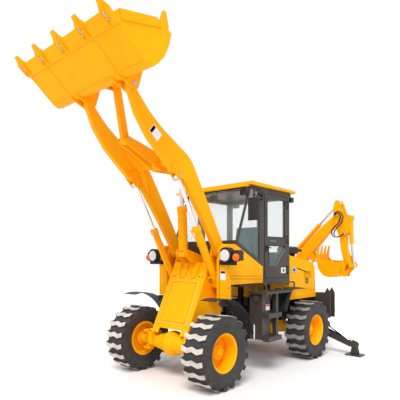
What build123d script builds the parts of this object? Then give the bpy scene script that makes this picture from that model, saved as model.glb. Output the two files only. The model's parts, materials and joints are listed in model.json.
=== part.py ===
from build123d import *
import os
from math import cos, hypot, radians, sin

# A backhoe loader, in millimetres. X points forward, Y to the machine's left and Z up.
# The origin lies on the ground under the middle of the whole machine.
# Side-view places are given as (x, z) with x counted forward from the front axle.

# ---- wheels and axles
FRONT_AXLE_X = 1058
WHEELBASE = 2750
WHEEL_Y = 860
KINGPIN_Y = 620
TYRE_WIDTH = 405
LUG_TOP_RADIUS = 534.7          # flat top of a lug; its corners reach half of 1075
TREAD_RADIUS = 498
BEAD_RADIUS = 258
RIM_LIP_RADIUS = 285
RIM_HALF_WIDTH = 170
RIM_WALL = 14
LUG_COUNT = 18
TYRE_SIDES = LUG_COUNT          # flats of the faceted carcass, one under each lug
AXLE_Z = LUG_TOP_RADIUS
AXLE_TUBE_RADIUS = 85
SEAT = 0.3                      # clearance of a piece at its seat
RUNNING = 0.5                   # radial clearance of a pin or a rod
REAR_AXLE_X = -WHEELBASE        # counted from the front axle, as all side-view places

# ---- chassis and side gear
GUARD_RADIUS = 765              # front mudguard, about the front axle
GUARD_TURN = (76, 166)
RAIL_Y = (270, 345)
RAIL_TOP = 900
TANK_ARM_X = (-1160, -1080)
STEP_ARM_X = (-1595, -1520)
TANK_X = (-1290, -1060)
TANK_DEPTH = 245
DECK_TOP = 1335
DECK_THICK = 35
HOOP_TOP = 1470                 # below the door's foot, which swings over the hoops
TREAD_X = (-1470, -1074)
TREAD_Z = ((540, 612), (915, 990))

# ---- loader: pivots in side view
ARM_PIVOT = (-560, 1980)
LIFT_BASE = (-500, 1460)
LIFT_EYE = (390, 3050)
CRANK_PIVOT = (330, 3310)
CRANK_FRONT = (970, 3530)
CRANK_REAR = (-160, 3270)
BUCKET_PIVOT = (1250, 4100)
LINK_TOP = (1120, 4270)
TILT_BASE = (-223, 1952)
ARM_INNER_Y = 430
ARM_OUTER_Y = 510
ARM_MIDDLE_Y = (ARM_INNER_Y + ARM_OUTER_Y) / 2
PIVOT_PIN = 30
SMALL_PIN = 25
LIFT_BARREL_RADIUS = 55
LIFT_BARREL_LENGTH = 1025
LIFT_ROD_RADIUS = 30
LIFT_ROD_INSIDE = 150
TILT_BARREL_RADIUS = 74
TILT_BARREL_LENGTH = 754
TILT_ROD_RADIUS = 32
TILT_ROD_INSIDE = 200

# ---- tower
TOWER_INNER_Y = (368, 388)
TOWER_BOSS_Y = 408              # the bosses reach out to the arms' feet
COVER_TOP = (-420, 1810)
COVER_SLOPE = (0.4345, -0.9007)  # unit vector down the cover, in side view
COVER_WALL = 12
COVER_HOOK_Y = 121
COVER_HOOK_DOWN = 200           # from the cover's top to the middle of the hook's bend
COVER_HOOK_RADII = (66, 90)
TOWER_OUTER_Y = (560, 600)

# ---- loader bucket, in its own frame: u along the floor to the teeth, w up from the floor
BUCKET_ROLL = radians(40)
BUCKET_HALF_WIDTH = 1020
BUCKET_WALL = 18
BUCKET_EAR_Y = ((387, 412), (528, 553))
TOOTH_COUNT = 5

# ---- cab
CAB_HALF_WIDTH = 700
CAB_WALL = 55
CAB_TOP = 3085
CAB_BACK = -2335
CAB_CEILING = CAB_TOP - CAB_WALL
ROOF_HALF_WIDTH = CAB_HALF_WIDTH + 60
VISOR_HALF_WIDTH = CAB_HALF_WIDTH + 5
POST = 22                       # width of the slim front posts
GLASS = 6
GLASS_DEPTH = 20                # from the cab's side to the panes' outer face
SIDE_CUT = (CAB_HALF_WIDTH - 100, CAB_HALF_WIDTH + 20)
REAR_WINDOW_Y = CAB_HALF_WIDTH - 90
DOOR_Y = (CAB_HALF_WIDTH - 38, CAB_HALF_WIDTH + 2)
DOOR_X = (-2262, -1500)
DOOR_Z = (1525, CAB_TOP - 90)
DOOR_HINGE = (-2268, CAB_HALF_WIDTH + 16)
DOOR_HINGE_HEIGHTS = (1660, 2220, CAB_TOP - 225)
DOOR_TOP_PANE = ((-2160, -1586), (2250, CAB_TOP - 165))
DOOR_LOW_PANE = [(-1630, 2098), (-1630, 1722), (-1826, 1722), (-2044, 1935), (-2171, 2045), (-2171, 2098)]
QUARTER = [(-748, 2140), (-1100, CAB_CEILING), (-1350, CAB_CEILING), (-1350, 1845)]
SIDE_WINDOW = [(-1500, 1560), (-1500, CAB_TOP - 115), (-2250, CAB_TOP - 115), (-2250, 1560)]
REAR_WINDOW_Z = (1990, CAB_TOP - 125)
COWL_Y = (CAB_HALF_WIDTH - 84, CAB_HALF_WIDTH + 42)
LAMP_Y = (CAB_HALF_WIDTH + 100, CAB_HALF_WIDTH + 265)     # headlamp and turn signal

# ---- side gear, outwards of the cab's side
SIDE_GEAR_Y = CAB_HALF_WIDTH    # inner face of the tank and the step hangers
TANK_OUTER_Y = SIDE_GEAR_Y + TANK_DEPTH
SIDE_OUTER_Y = 1060             # outer edge of the decks and rear guards

# ---- backhoe: places are (r, z), r counted along the boom from the king post's axis
HOE_X = -3970
KING_Y = -600
BOOM_FOOT = (180, 1100)
DIPPER_PIVOT = (1525, 2730)
BOOM_BASE = (270, 762)
BOOM_EYE = (985, 1850)
DIPPER_BASE = (560, 2060)
DIPPER_EYE = (1530, 3030)
HOE_BUCKET_PIVOT = (1720, 1800)
LEVER_PIVOT = (1710, 1910)
LEVER_END = (1840, 1730)
HOE_LINK_PIN = (1680, 1545)
CURL_BASE = (1765, 2720)
HOE_BUCKET_HALF_WIDTH = 280
BOOM_HALF_THICK = 75

# ---- stabilisers: places are (y, z) on the left side
LEG_X = -3510
LEG_HINGE = (420, 550)
LEG_EYE = (1360, 262)
LEG_FOOT = (1450, 200)
LEG_BASE = (330, 900)


# ---------------------------------------------------------------- helpers

def block(x0, x1, y0, y1, z0, z1):
    """A box between two corners, x counted from the front axle."""
    middle = Pos(FRONT_AXLE_X + (x0 + x1) / 2, (y0 + y1) / 2, (z0 + z1) / 2)
    return middle * Box(abs(x1 - x0), abs(y1 - y0), abs(z1 - z0))


def slab_y(points, y0, y1):
    """A flat plate with a side-view outline, between two planes of y."""
    low, high = min(y0, y1), max(y0, y1)
    outline = Polyline(*[(FRONT_AXLE_X + x, low, z) for x, z in points], close=True)
    return extrude(make_face(outline), amount=high - low, dir=(0, 1, 0))


def slab_x(points, x0, x1):
    """A flat plate with an outline seen from behind, between two planes of x."""
    low, high = min(x0, x1), max(x0, x1)
    outline = Polyline(*[(FRONT_AXLE_X + low, y, z) for y, z in points], close=True)
    return extrude(make_face(outline), amount=high - low, dir=(1, 0, 0))


def bar(start, end, radius, bore=0):
    """A round bar or tube between two points of space."""
    axis = Vector(*end) - Vector(*start)
    plane = Plane(origin=start, z_dir=axis)
    section = plane * Circle(radius)
    if bore:
        section -= plane * Circle(bore)
    return extrude(section, amount=axis.length)


def bar_y(place, y0, y1, radius, bore=0):
    """A round bar or tube along y at a side-view place."""
    x, z = place
    return bar((FRONT_AXLE_X + x, y0, z), (FRONT_AXLE_X + x, y1, z), radius, bore)


def hull_points(first, first_radius, second, second_radius):
    """Four corners of the strip that joins two discs."""
    along = Vector(second[0] - first[0], second[1] - first[1]).normalized()
    side = Vector(-along.Y, along.X)
    return [
        (first[0] + side.X * first_radius, first[1] + side.Y * first_radius),
        (second[0] + side.X * second_radius, second[1] + side.Y * second_radius),
        (second[0] - side.X * second_radius, second[1] - side.Y * second_radius),
        (first[0] - side.X * first_radius, first[1] - side.Y * first_radius),
    ]


def strap_y(first, first_radius, second, second_radius, y0, y1):
    """A plate with two round ends, seen from the side."""
    strip = slab_y(hull_points(first, first_radius, second, second_radius), y0, y1)
    return strip + bar_y(first, y0, y1, first_radius) + bar_y(second, y0, y1, second_radius)


def hoe_points(points):
    """Turns backhoe places (r, z) into (y, z)."""
    return [(KING_Y + r, z) for r, z in points]


def hoe_slab(points, d0, d1):
    """A flat plate of the backhoe, between two offsets from its middle plane."""
    return slab_x(hoe_points(points), HOE_X + d0, HOE_X + d1)


def hoe_bar(place, d0, d1, radius, bore=0):
    """A round bar or tube across the backhoe at a place."""
    x = FRONT_AXLE_X + HOE_X
    r, z = place
    return bar((x + d0, KING_Y + r, z), (x + d1, KING_Y + r, z), radius, bore)


def hoe_strap(first, first_radius, second, second_radius, d0, d1):
    """A plate of the backhoe with two round ends."""
    strip = hoe_slab(hull_points(first, first_radius, second, second_radius), d0, d1)
    return strip + hoe_bar(first, d0, d1, first_radius) + hoe_bar(second, d0, d1, second_radius)


def both_sides(shape):
    """The shape and its mirror image across the machine."""
    return shape + mirror(shape, about=Plane.XZ)


def between(first, second, distance):
    """The point at a distance from the first towards the second."""
    span = hypot(second[0] - first[0], second[1] - first[1])
    share = distance / span
    return (first[0] + (second[0] - first[0]) * share, first[1] + (second[1] - first[1]) * share)


def band(points, thickness):
    """A closed outline: an open line of points and the same line moved to its left."""
    moved = []
    for i, (x, z) in enumerate(points):
        before = points[max(i - 1, 0)]
        after = points[min(i + 1, len(points) - 1)]
        first = Vector(x - before[0], z - before[1])
        second = Vector(after[0] - x, after[1] - z)
        first = second.normalized() if first.length == 0 else first.normalized()
        second = first if second.length == 0 else second.normalized()
        middle = (first + second).normalized()
        normal = Vector(-middle.Y, middle.X)
        reach = thickness / max(0.4, normal.X * -first.Y + normal.Y * first.X)
        moved.append((x + normal.X * reach, z + normal.Y * reach))
    return list(points) + moved[::-1]


# ---------------------------------------------------------------- running gear

def polygon_section(reach, y, sides=TYRE_SIDES):
    """A regular polygon across the y axis, its flats at the given reach."""
    corner = reach / cos(radians(180 / sides))
    points = [
        (corner * sin(radians(360 * (i + 0.5) / sides)), y, corner * cos(radians(360 * (i + 0.5) / sides)))
        for i in range(sides)
    ]
    return make_face(Polyline(*points, close=True))


def faceted(steps):
    """A faceted body through steps of (reach, y), its sides flat."""
    return loft([polygon_section(reach, y) for reach, y in steps], ruled=True)


def tyre():
    """One tyre on the y axis at the origin, with flat-topped zigzag lugs."""
    half = TYRE_WIDTH / 2
    shoulder = [(400, half), (455, half - 4), (TREAD_RADIUS, half - 30)]  # reach, y
    body = faceted([(r, -y) for r, y in shoulder] + shoulder[::-1])
    dish = [(RIM_LIP_RADIUS + SEAT, 157), (300, 175), (400, half)]
    body -= faceted(dish) + faceted([(r, -y) for r, y in dish])
    body -= faceted([(BEAD_RADIUS + SEAT, -157), (BEAD_RADIUS + SEAT, 157)])
    lug = [  # along the tread, across it
        (-62, half - 6), (-30, 95), (-58, 0), (-30, -95), (-62, -half + 6),
        (10, -half + 6), (46, -95), (16, 0), (46, 95), (10, half - 6),
    ]
    depth = LUG_TOP_RADIUS - TREAD_RADIUS + 18
    block_face = make_face(Polyline(*[(x, y, LUG_TOP_RADIUS) for x, y in lug], close=True))
    cleat = extrude(block_face, amount=depth, dir=(0, 0, -1))
    cleats = [Rot(0, 360 * i / LUG_COUNT, 0) * cleat for i in range(LUG_COUNT)]
    return body + cleats


def rim():
    """One dished rim with its disc and hub, its outer face towards +y."""
    lip, half, seat = RIM_LIP_RADIUS, RIM_HALF_WIDTH, BEAD_RADIUS
    outline = [  # radius, y
        (seat, 157), (lip, 157), (lip, half), (seat - RIM_WALL, half), (232, 120), (226, -40),
        (150, -58), (120, -58), (112, 40), (0, 52), (0, -70), (130, -78), (165, -78), (226, -62),
        (seat - RIM_WALL, -half), (lip, -half), (lip, -157), (seat, -157),
    ]
    section = make_face(Polyline(*[(r, y, 0) for r, y in outline], close=True))
    return revolve(section, Axis.Y)


def at_wheel(shape, axle_x, side):
    """Puts a wheel piece at one end of an axle."""
    piece = shape if side > 0 else mirror(shape, about=Plane.XZ)
    return Pos(FRONT_AXLE_X + axle_x, side * WHEEL_Y, AXLE_Z) * piece


def axle_half(axle_x, inner, outer):
    """A tapered axle tube on the left side."""
    start = (FRONT_AXLE_X + axle_x, inner, AXLE_Z)
    plane = Plane(origin=start, z_dir=(0, 1, 0))
    wide = plane * Circle(150)
    narrow = plane.offset(outer - inner) * Circle(AXLE_TUBE_RADIUS)
    return loft([wide, narrow])


def front_axle():
    """Front axle housing with its differential dome, tubes, yokes and bolting blocks."""
    dome = Pos(FRONT_AXLE_X, 0, AXLE_Z) * Sphere(200)
    half = axle_half(0, 100, 540)
    half += block(-55, 55, 520, KINGPIN_Y - 75, AXLE_Z - 160, AXLE_Z + 160)
    for low, high in ((120, 160), (-160, -120)):
        half += block(-55, 55, 530, KINGPIN_Y + 40, AXLE_Z + low, AXLE_Z + high)
    half += block(-70, 150, 350, 440, AXLE_Z - 40, 690)
    pin = bar(
        (FRONT_AXLE_X, KINGPIN_Y, AXLE_Z - 170), (FRONT_AXLE_X, KINGPIN_Y, AXLE_Z + 170), 26
    )
    return dome + both_sides(half - pin)


def knuckle(side):
    """Steering knuckle: kingpin, body and the spindle that carries the wheel."""
    x = FRONT_AXLE_X
    body = bar((x, KINGPIN_Y - 30, AXLE_Z), (x, KINGPIN_Y + 110, AXLE_Z), 75)
    body += bar((x, KINGPIN_Y + 110, AXLE_Z), (x, WHEEL_Y - 78 - SEAT, AXLE_Z), 120)
    body += bar((x, KINGPIN_Y, AXLE_Z - 165), (x, KINGPIN_Y, AXLE_Z + 165), 25)
    arm = block(-190, -40, KINGPIN_Y - 15, KINGPIN_Y + 35, AXLE_Z - 35, AXLE_Z + 15)
    body += arm
    return body if side > 0 else mirror(body, about=Plane.XZ)


def rear_axle():
    """Rear axle housing with its differential and bolting pads."""
    x = FRONT_AXLE_X + REAR_AXLE_X
    dome = Pos(x, 0, AXLE_Z) * Sphere(190)
    half = axle_half(REAR_AXLE_X, 90, 560)
    half += bar((x, 540, AXLE_Z), (x, WHEEL_Y - 78 - SEAT, AXLE_Z), 125)
    half += block(REAR_AXLE_X - 90, REAR_AXLE_X + 90, 270, 345, AXLE_Z, 660)
    return dome + both_sides(half)


# ---------------------------------------------------------------- chassis

def chassis_frame():
    """Two rails with their cross members, posts and outriggers, each seated on its neighbour."""
    inner, outer = RAIL_Y
    top = RAIL_TOP + SEAT
    rail = slab_y(
        [(-10, 760), (-10, RAIL_TOP), (-3401.7, RAIL_TOP), (-3401.7, 660), (-420, 660), (-320, 760)],
        inner, outer
    )
    members = both_sides(rail).solids()
    for x0, x1, z0, z1 in ((-80, -10, 760, 900), (-520, -440, 700, 900), (-1500, -1420, 700, 900),
                           (-2200, -2120, 700, 900), (-3401.7, -3330, 660, 900)):
        members.append(block(x0, x1, SEAT - inner, inner - SEAT, z0, z1).solid())
    posts = [  # x0, x1, outer y, top
        (-1000, -900, outer, 1420), (-2250, -2150, outer, 1420),
        (-2460, -2400, 420, 1100), (-3320, -3260, 420, 1100),
    ]
    for x0, x1, y1, z1 in posts:
        members += both_sides(block(x0, x1, inner, y1, top, z1 - SEAT)).solids()
    for x0, x1 in (TANK_ARM_X, STEP_ARM_X):
        arm = block(x0, x1, outer + SEAT, SIDE_GEAR_Y - SEAT, 800, 880)
        members += both_sides(arm).solids()
    return Compound(children=members)


def on_cover(down, lift=0):
    """Side-view place on the tower's cover: a distance down it and one out of it."""
    x = COVER_TOP[0] + COVER_SLOPE[0] * down - COVER_SLOPE[1] * lift
    z = COVER_TOP[1] + COVER_SLOPE[1] * down + COVER_SLOPE[0] * lift
    return (x, z)


def cover_plate(down0, down1, y0, y1, out, thick):
    """A plate along the cover, between two distances down it; out is below nought above it."""
    outline = [on_cover(down0, -out), on_cover(down1, -out), on_cover(down1, -thick),
               on_cover(down0, -thick)]
    return slab_y(outline, y0, y1)


def cover_hook(y):
    """The U-shaped pressed rim around one hose opening of the cover."""
    x, z = on_cover(COVER_HOOK_DOWN)
    plane = Plane(origin=(FRONT_AXLE_X + x, y, z), x_dir=(0, 1, 0),
                  z_dir=(-COVER_SLOPE[1], 0, COVER_SLOPE[0]))
    inner, outer = COVER_HOOK_RADII
    arc = Circle(outer) - Circle(inner) - Pos(0, outer) * Rectangle(2 * outer + 2, 2 * outer)
    legs = [Pos(sign * (inner + outer) / 2, COVER_HOOK_DOWN / 2) *
            Rectangle(outer - inner, COVER_HOOK_DOWN) for sign in (-1, 1)]
    return extrude(plane * (arc + legs), amount=22)


def loader_tower():
    """Front cover, side plates, outer posts, tilt lugs and the fixed pins of the loader."""
    y0, y1 = TOWER_INNER_Y
    side_plate = slab_y(
        [COVER_TOP, on_cover(1236), (-10, 690), (-40, 900), (-700, 900), (-700, 1950),
         (-640, 2040), (-480, 2040), (-450, 1900)], y0, y1
    )
    side_plate += bar_y(ARM_PIVOT, y0, TOWER_BOSS_Y, 110)
    side_plate += bar_y(LIFT_BASE, y0, TOWER_BOSS_Y, 70)
    outer = slab_y(
        [(-380, 1200), (-380, 1850), (-450, 1980), (-670, 1980), (-700, 1900), (-700, 1200)],
        *TOWER_OUTER_Y
    )
    outer += bar_y(ARM_PIVOT, *TOWER_OUTER_Y, 110)
    webs = block(-700, -380, y0, TOWER_OUTER_Y[1], 1200, 1240)
    webs += block(-700, -680, y0, TOWER_OUTER_Y[1], 1200, 1900)
    pins = bar_y(ARM_PIVOT, y0, TOWER_OUTER_Y[1] + 12, PIVOT_PIN)
    pins += bar_y(LIFT_BASE, y0, TOWER_OUTER_Y[1] + 12, SMALL_PIN)
    half = side_plate + outer + webs + pins
    lug = slab_y(
        [(-400, 1800), (-640, 1800), (-620, 1900), (-250, 2010), (-165, 1960), (-200, 1890),
         (-330, 1800)], 80, 104
    )
    half += lug + bar_y(TILT_BASE, 80, 104, 62)
    cover = cover_plate(0, 1236, -y1, y1, 0, COVER_WALL)
    cover -= cover_plate(1150, 1300, -240, 240, -20, COVER_WALL + 20)
    cover += cover_plate(365, 1035, -270, 270, -8, 2)
    for y in (-COVER_HOOK_Y, COVER_HOOK_Y):
        cover += cover_hook(y)
    deck = block(-660, COVER_TOP[0], -y0, y0, 1795, 1810)
    foot = block(-700, -40, -y0, y0, 900, 930)
    wall = block(-700, -680, -y0, y0, 900, 1812)
    tilt_pin = bar_y(TILT_BASE, -112, 112, SMALL_PIN)
    return both_sides(half) + cover + deck + foot + wall + tilt_pin


def fenders():
    """Front mudguards and the folded guards ahead of the rear tyres."""
    arc = [
        (GUARD_RADIUS * cos(radians(turn)), AXLE_Z + GUARD_RADIUS * sin(radians(turn)))
        for turn in range(GUARD_TURN[0], GUARD_TURN[1] + 1, 10)
    ]
    guard = slab_y(band(arc, 8), 720, 1005)
    guard += block(-470, -390, TOWER_OUTER_Y[1] + SEAT, 780, 1140, 1225)
    rear = [(-1614, 983), (-1796, 1330), (-1850, 1342), (-2450, 1345)]
    back = slab_y(band(rear, 8), CAB_HALF_WIDTH + SEAT, SIDE_OUTER_Y)
    edge = SIDE_OUTER_Y
    corner = [(-2262, edge + 1), (-2262, edge), (-2460, CAB_HALF_WIDTH + 60), (-2460, edge + 1)]
    outline = Polyline(*[(FRONT_AXLE_X + x, y, 1300) for x, y in corner], close=True)
    back -= extrude(make_face(outline), amount=100, dir=(0, 0, 1))
    for y in (CAB_HALF_WIDTH + 130, SIDE_OUTER_Y - 60):
        back += slab_y(band([(-1626, 1006), (-1790, 1318)], -22), y, y + 40)
    return both_sides(guard + back)


def engine_block():
    """The engine as one plain block."""
    return block(-3150, -2450, -270 + SEAT, 270 - SEAT, 740, 1560)


def hood_outline(inset):
    """Side outline of the hood, moved inwards by the inset."""
    return [
        (-2352 - inset, 1100 + inset), (-2352 - inset, 1930 - inset), (-3245, 1797 - inset),
        (-3340 + inset, 1705 - inset), (-3390 + inset, 1100 + inset),
    ]


def engine_hood():
    """Hollow hood with side vents."""
    wall = 14
    hood = slab_y(hood_outline(0), -CAB_HALF_WIDTH, CAB_HALF_WIDTH)
    hood -= slab_y(hood_outline(wall), -CAB_HALF_WIDTH + wall, CAB_HALF_WIDTH - wall)
    hood -= block(-3360, -2370, -345, 345, 1090, 1100 + wall + 5)
    side = CAB_HALF_WIDTH + 100
    slots = [block(-3200 + 55 * i, -3170 + 55 * i, -side, side, 1480, 1620) for i in range(6)]
    return hood - slots


def muffler():
    """Silencer lying on the hood, with its tail pipe."""
    x, y, z = FRONT_AXLE_X - 2480, 430, 2035
    body = bar((x, y, z), (x - 560, y, z), 78)
    body += bar((x - 560, y, z), (x - 780, y, z), 30)
    slope = (1930 - 1797) / (3245 - 2352)
    for offset in (120, 440):
        top = 1930 - slope * (2480 - 2352 + offset)
        body += block(-2480 - offset - 20, -2480 - offset + 20, y - 50, y + 50,
                      top + slope * 20 + SEAT, z)
    return body


# ---------------------------------------------------------------- cab

def cab_outline(inset):
    """Side outline of the cab shell, moved inwards by the inset."""
    return [
        (-790 - inset, 1420 + inset), (screen_x(2145) - inset, 2145),
        (screen_x(CAB_TOP) - inset, CAB_TOP - inset), (CAB_BACK + inset, CAB_TOP - inset),
        (CAB_BACK + inset, 1420 + inset),
    ]


def screen_x(z):
    """Where the cab's sloping front stands at a height."""
    return -702 - 0.402 * (z - 2145)


def cab_frame():
    """Hollow cab with a door opening on the left, window openings and a floor."""
    half, wall = CAB_HALF_WIDTH, CAB_WALL
    cab = slab_y(cab_outline(0), -half, half)
    cab -= slab_y(cab_outline(wall), -half + wall, half - wall)
    near, far = SIDE_CUT
    cab -= block(*DOOR_X, near, far, *DOOR_Z)
    cab -= slab_y(QUARTER, near, far) + slab_y(QUARTER, -far, -near)
    cab -= slab_y(SIDE_WINDOW, -far, -near)
    cab -= slab_y(windshield_outline(-15, 90), -half + POST, half - POST)
    cab -= block(CAB_BACK - 60, CAB_BACK + 80, -REAR_WINDOW_Y, REAR_WINDOW_Y, *REAR_WINDOW_Z)
    x, y = DOOR_HINGE
    for z in DOOR_HINGE_HEIGHTS:
        cab += bar((FRONT_AXLE_X + x, y, z - 72), (FRONT_AXLE_X + x, y, z + 72), 8)
        for low, high in ((z - 72, z - 47), (z + 47, z + 72)):
            cab += block(x - 14, x + 8, half - 1, y + 12, low, high)
    return cab


def windshield_outline(near, far):
    """Side outline of the slab that the windscreen fills, between two depths."""
    foot, head = 2165, CAB_TOP - 45
    return [(screen_x(foot) - near, foot), (screen_x(head) - near, head),
            (screen_x(head) - far, head), (screen_x(foot) - far, foot)]


def pane(outline, gap, y0, y1):
    """A pane between two y places, its edge inside the outline by the gap."""
    corners = [(FRONT_AXLE_X + x, y0, z) for x, z in outline]
    face = offset(make_face(Polyline(*corners, close=True)), -gap, kind=Kind.INTERSECTION)
    return extrude(face, amount=y1 - y0, dir=(0, 1, 0))


def cab_glass():
    """Fixed panes, each seated in its opening."""
    half = CAB_HALF_WIDTH
    screen = slab_y(windshield_outline(12, 12 + GLASS + 1), -half + POST + SEAT, half - POST - SEAT)
    edge, outer = REAR_WINDOW_Y - SEAT, half - GLASS_DEPTH
    rear = block(CAB_BACK + 25, CAB_BACK + 25 + GLASS, -edge, edge,
                 REAR_WINDOW_Z[0] + SEAT, REAR_WINDOW_Z[1] - SEAT)
    quarter = both_sides(pane(QUARTER, SEAT, outer - GLASS, outer))
    side = pane(SIDE_WINDOW, SEAT, -outer, -outer + GLASS)
    return Compound(children=[screen, rear, *quarter.solids(), side])


def cab_roof():
    """Yellow roof cap with a lower, narrower visor ahead of it."""
    cap = slab_y([(-1005, CAB_TOP + SEAT), (-1005, CAB_TOP + 40), (-1045, CAB_TOP + 60),
                  (CAB_BACK - 105, CAB_TOP + 40), (CAB_BACK - 150, CAB_TOP + SEAT)],
                 -ROOF_HALF_WIDTH, ROOF_HALF_WIDTH)
    visor = slab_y([(-765, visor_under(-765)), (-765, CAB_TOP - 33), (-1060, CAB_TOP + 35),
                    (-1060, visor_under(-1060))], -VISOR_HALF_WIDTH, VISOR_HALF_WIDTH)
    return cap + visor


def visor_under(x):
    """Height of the visor's underside."""
    return CAB_TOP - 70 + 0.153 * (-765 - x)


def cab_door():
    """Door with two window openings, panels and its hinges at the rear edge."""
    x0, x1 = DOOR_X[0] + 6, DOOR_X[1] - 6
    z0, z1 = DOOR_Z[0] + 6, DOOR_Z[1] - 6
    door = block(x0, x1, *DOOR_Y, z0, z1)
    door -= block(*DOOR_TOP_PANE[0], *SIDE_CUT, *DOOR_TOP_PANE[1])
    door -= slab_y(DOOR_LOW_PANE, *SIDE_CUT)
    x, y = DOOR_HINGE
    for z in DOOR_HINGE_HEIGHTS:
        door += bar((FRONT_AXLE_X + x, y, z - 45), (FRONT_AXLE_X + x, y, z + 45), 14)
        door += block(x, x0 + 50, DOOR_Y[1], DOOR_Y[1] + 12, z - 45, z + 45)
        door -= bar((FRONT_AXLE_X + x, y, z - 80), (FRONT_AXLE_X + x, y, z + 80), 8 + RUNNING)
    return door


def door_glass():
    """The door's two panes."""
    (x0, x1), (z0, z1) = DOOR_TOP_PANE
    inner = CAB_HALF_WIDTH - GLASS_DEPTH
    top = block(x0 + SEAT, x1 - SEAT, inner, inner + GLASS, z0 + SEAT, z1 - SEAT)
    low = pane(DOOR_LOW_PANE, SEAT, inner, inner + GLASS)
    return Compound(children=[top, low])


def operator_seat():
    """Seat with a base, cushion and backrest."""
    base = block(-1960, -1600, -180, 180, 1475 + SEAT, 1760)
    cushion = block(-1990, -1500, -240, 240, 1760, 1880)
    back = slab_y([(-1980, 1870), (-1860, 1870), (-1960, 2460), (-2060, 2440)], -230, 230)
    return base + cushion + back


def control_console():
    """Steering column with its wheel, and the lever consoles beside the seat."""
    column = slab_y([(-960, 1475 + SEAT), (-1120, 1475 + SEAT), (-1240, 2060), (-1180, 2080)],
                    -70, 70)
    x, z = FRONT_AXLE_X - 1225, 2095
    tilt = Plane(origin=(x, 0, z), z_dir=(-0.45, 0, 0.89))
    wheel = tilt * (Cylinder(205, 26) - Cylinder(175, 40))
    wheel += tilt * Box(380, 34, 18) + tilt * Cylinder(45, 60)
    boxes = both_sides(block(-1900, -1560, 300, 420, 1475 + SEAT, 1960))
    levers = [
        bar((FRONT_AXLE_X - 1650, y, 1950), (FRONT_AXLE_X - 1600, y, 2150), 12)
        for y in (-380, -340, 340, 380)
    ]
    return Compound(children=[column + wheel, *(boxes + levers).solids()])


def side_cowls():
    """Yellow cowl panels beside the cab's foot."""
    outline = [(-385, 1465), (-385, 2060), (-430, 2095), (-610, 2100), (-1320, 1765),
               (-1389, 1740), (-1389, 1465)]
    panel = slab_y(outline, CAB_HALF_WIDTH + SEAT, COWL_Y[1])
    panel += slab_y([(-385, 1465), (-385, 2060), (-430, 2095), (-560, 2098), (-560, 1465)], *COWL_Y)
    panel += slab_y([(-385, 1240), (-385, 1520), (-500, 1520), (-500, 1240)], *COWL_Y)
    return both_sides(panel)


def headlamps():
    """Round headlamps with their turn signals, housings and brackets."""
    x = FRONT_AXLE_X - 380
    y, signal = LAMP_Y
    lamp = bar((x - 5 + SEAT, y, 1920), (x + 50, y, 1920), 98)
    lamp += bar((x + 45, y, 1920), (x + 68, y, 1920), 84)
    lamp += bar((x - 40, signal, 1890), (x + 35, signal, 1890), 68)
    behind = COWL_Y[1] + 3
    lamp += block(-450, -340, behind, y + 200, 1840, 1960)
    lamp += block(-385 + SEAT, -350, y - 160, y + 150, 1765, 1835)
    lamp += block(-440, -350, behind, y + 150, 1765, 1845)
    return both_sides(lamp)


def mirrors_and_work_lamps():
    """The left mirror on its tube arms and the square work lamps under the roof."""
    x = FRONT_AXLE_X
    side, high, low = CAB_HALF_WIDTH, CAB_TOP - 120, CAB_TOP - 195
    foot = block(-1440, -1395, side + SEAT, side + 26, low - 25, high + 35)
    head = (x - 895, side + 200)
    arm = foot + bar((*head, high), (*head, CAB_TOP - 265), 13) + Pos(*head, high) * Sphere(13)
    for z in (low, high):
        arm += bar((x - 1410, side + 16, z), (*head, z), 13)
    body = block(-925, -865, side + 95, side + 305, CAB_TOP - 605, CAB_TOP - 250)
    arm += fillet(body.edges().filter_by(Axis.Z), 25)
    back = CAB_BACK - 65
    rear_lamp = block(back - 100, back, side - 140, side, CAB_TOP - 160, CAB_TOP - 70)
    rear_lamp += block(back - 70, back - 30, side - 100, side - 50, CAB_TOP - 75, CAB_TOP)
    front_lamp = block(-1000, -930, side - 100, side + 30, CAB_TOP - 175, CAB_TOP - 80)
    front_lamp += block(-975, -950, side - 60, side - 10, CAB_TOP - 85, visor_under(-950) - SEAT)
    return arm + both_sides(rear_lamp + front_lamp)


def side_steps():
    """Decks, steps, grab hoops and rails on both sides."""
    x = FRONT_AXLE_X
    edge, under = SIDE_OUTER_Y, DECK_TOP - DECK_THICK
    deck = block(-1755, -1000, SIDE_GEAR_Y + 5, edge, under, DECK_TOP)
    deck += block(*STEP_ARM_X, SIDE_GEAR_Y, SIDE_GEAR_Y + 70, 800, DECK_TOP - 15)
    deck += block(-1440, -1370, edge - 120, edge - 50, TREAD_Z[0][0], DECK_TOP - 15)
    for z0, z1 in TREAD_Z:
        deck += block(TREAD_X[0], TREAD_X[1], TANK_OUTER_Y + SEAT, edge, z0, z1)
        deck += block(TREAD_X[0], TANK_X[0] - SEAT, SIDE_GEAR_Y + 80, edge, z0, z1)
    out, into = edge - 20, edge - 210
    hoop = FilletPolyline((x - 1030, out, DECK_TOP), (x - 1030, out, HOOP_TOP),
                          (x - 1030, into, HOOP_TOP), (x - 1030, into, DECK_TOP), radius=60)
    y, foot = edge - 30, DECK_TOP + 18 + SEAT
    rail = FilletPolyline((x - 1500, y, DECK_TOP), (x - 1590, y, HOOP_TOP),
                          (x - 1930, y, HOOP_TOP), (x - 1930, y, foot), radius=50)
    for path in (hoop, rail):
        deck += sweep(Plane(origin=path @ 0, z_dir=path % 0) * Circle(14), path=path)
    return both_sides(deck)


def fuel_tank():
    """Tank box with a round cap on its front face."""
    tank = block(*TANK_X, SIDE_GEAR_Y, TANK_OUTER_Y, 560, DECK_TOP - DECK_THICK - SEAT)
    front = FRONT_AXLE_X + TANK_X[1]
    y = SIDE_GEAR_Y + 150
    tank += bar((front, y, 1225), (front + 40, y, 1225), 55)
    return both_sides(tank)


# ---------------------------------------------------------------- loader

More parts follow.
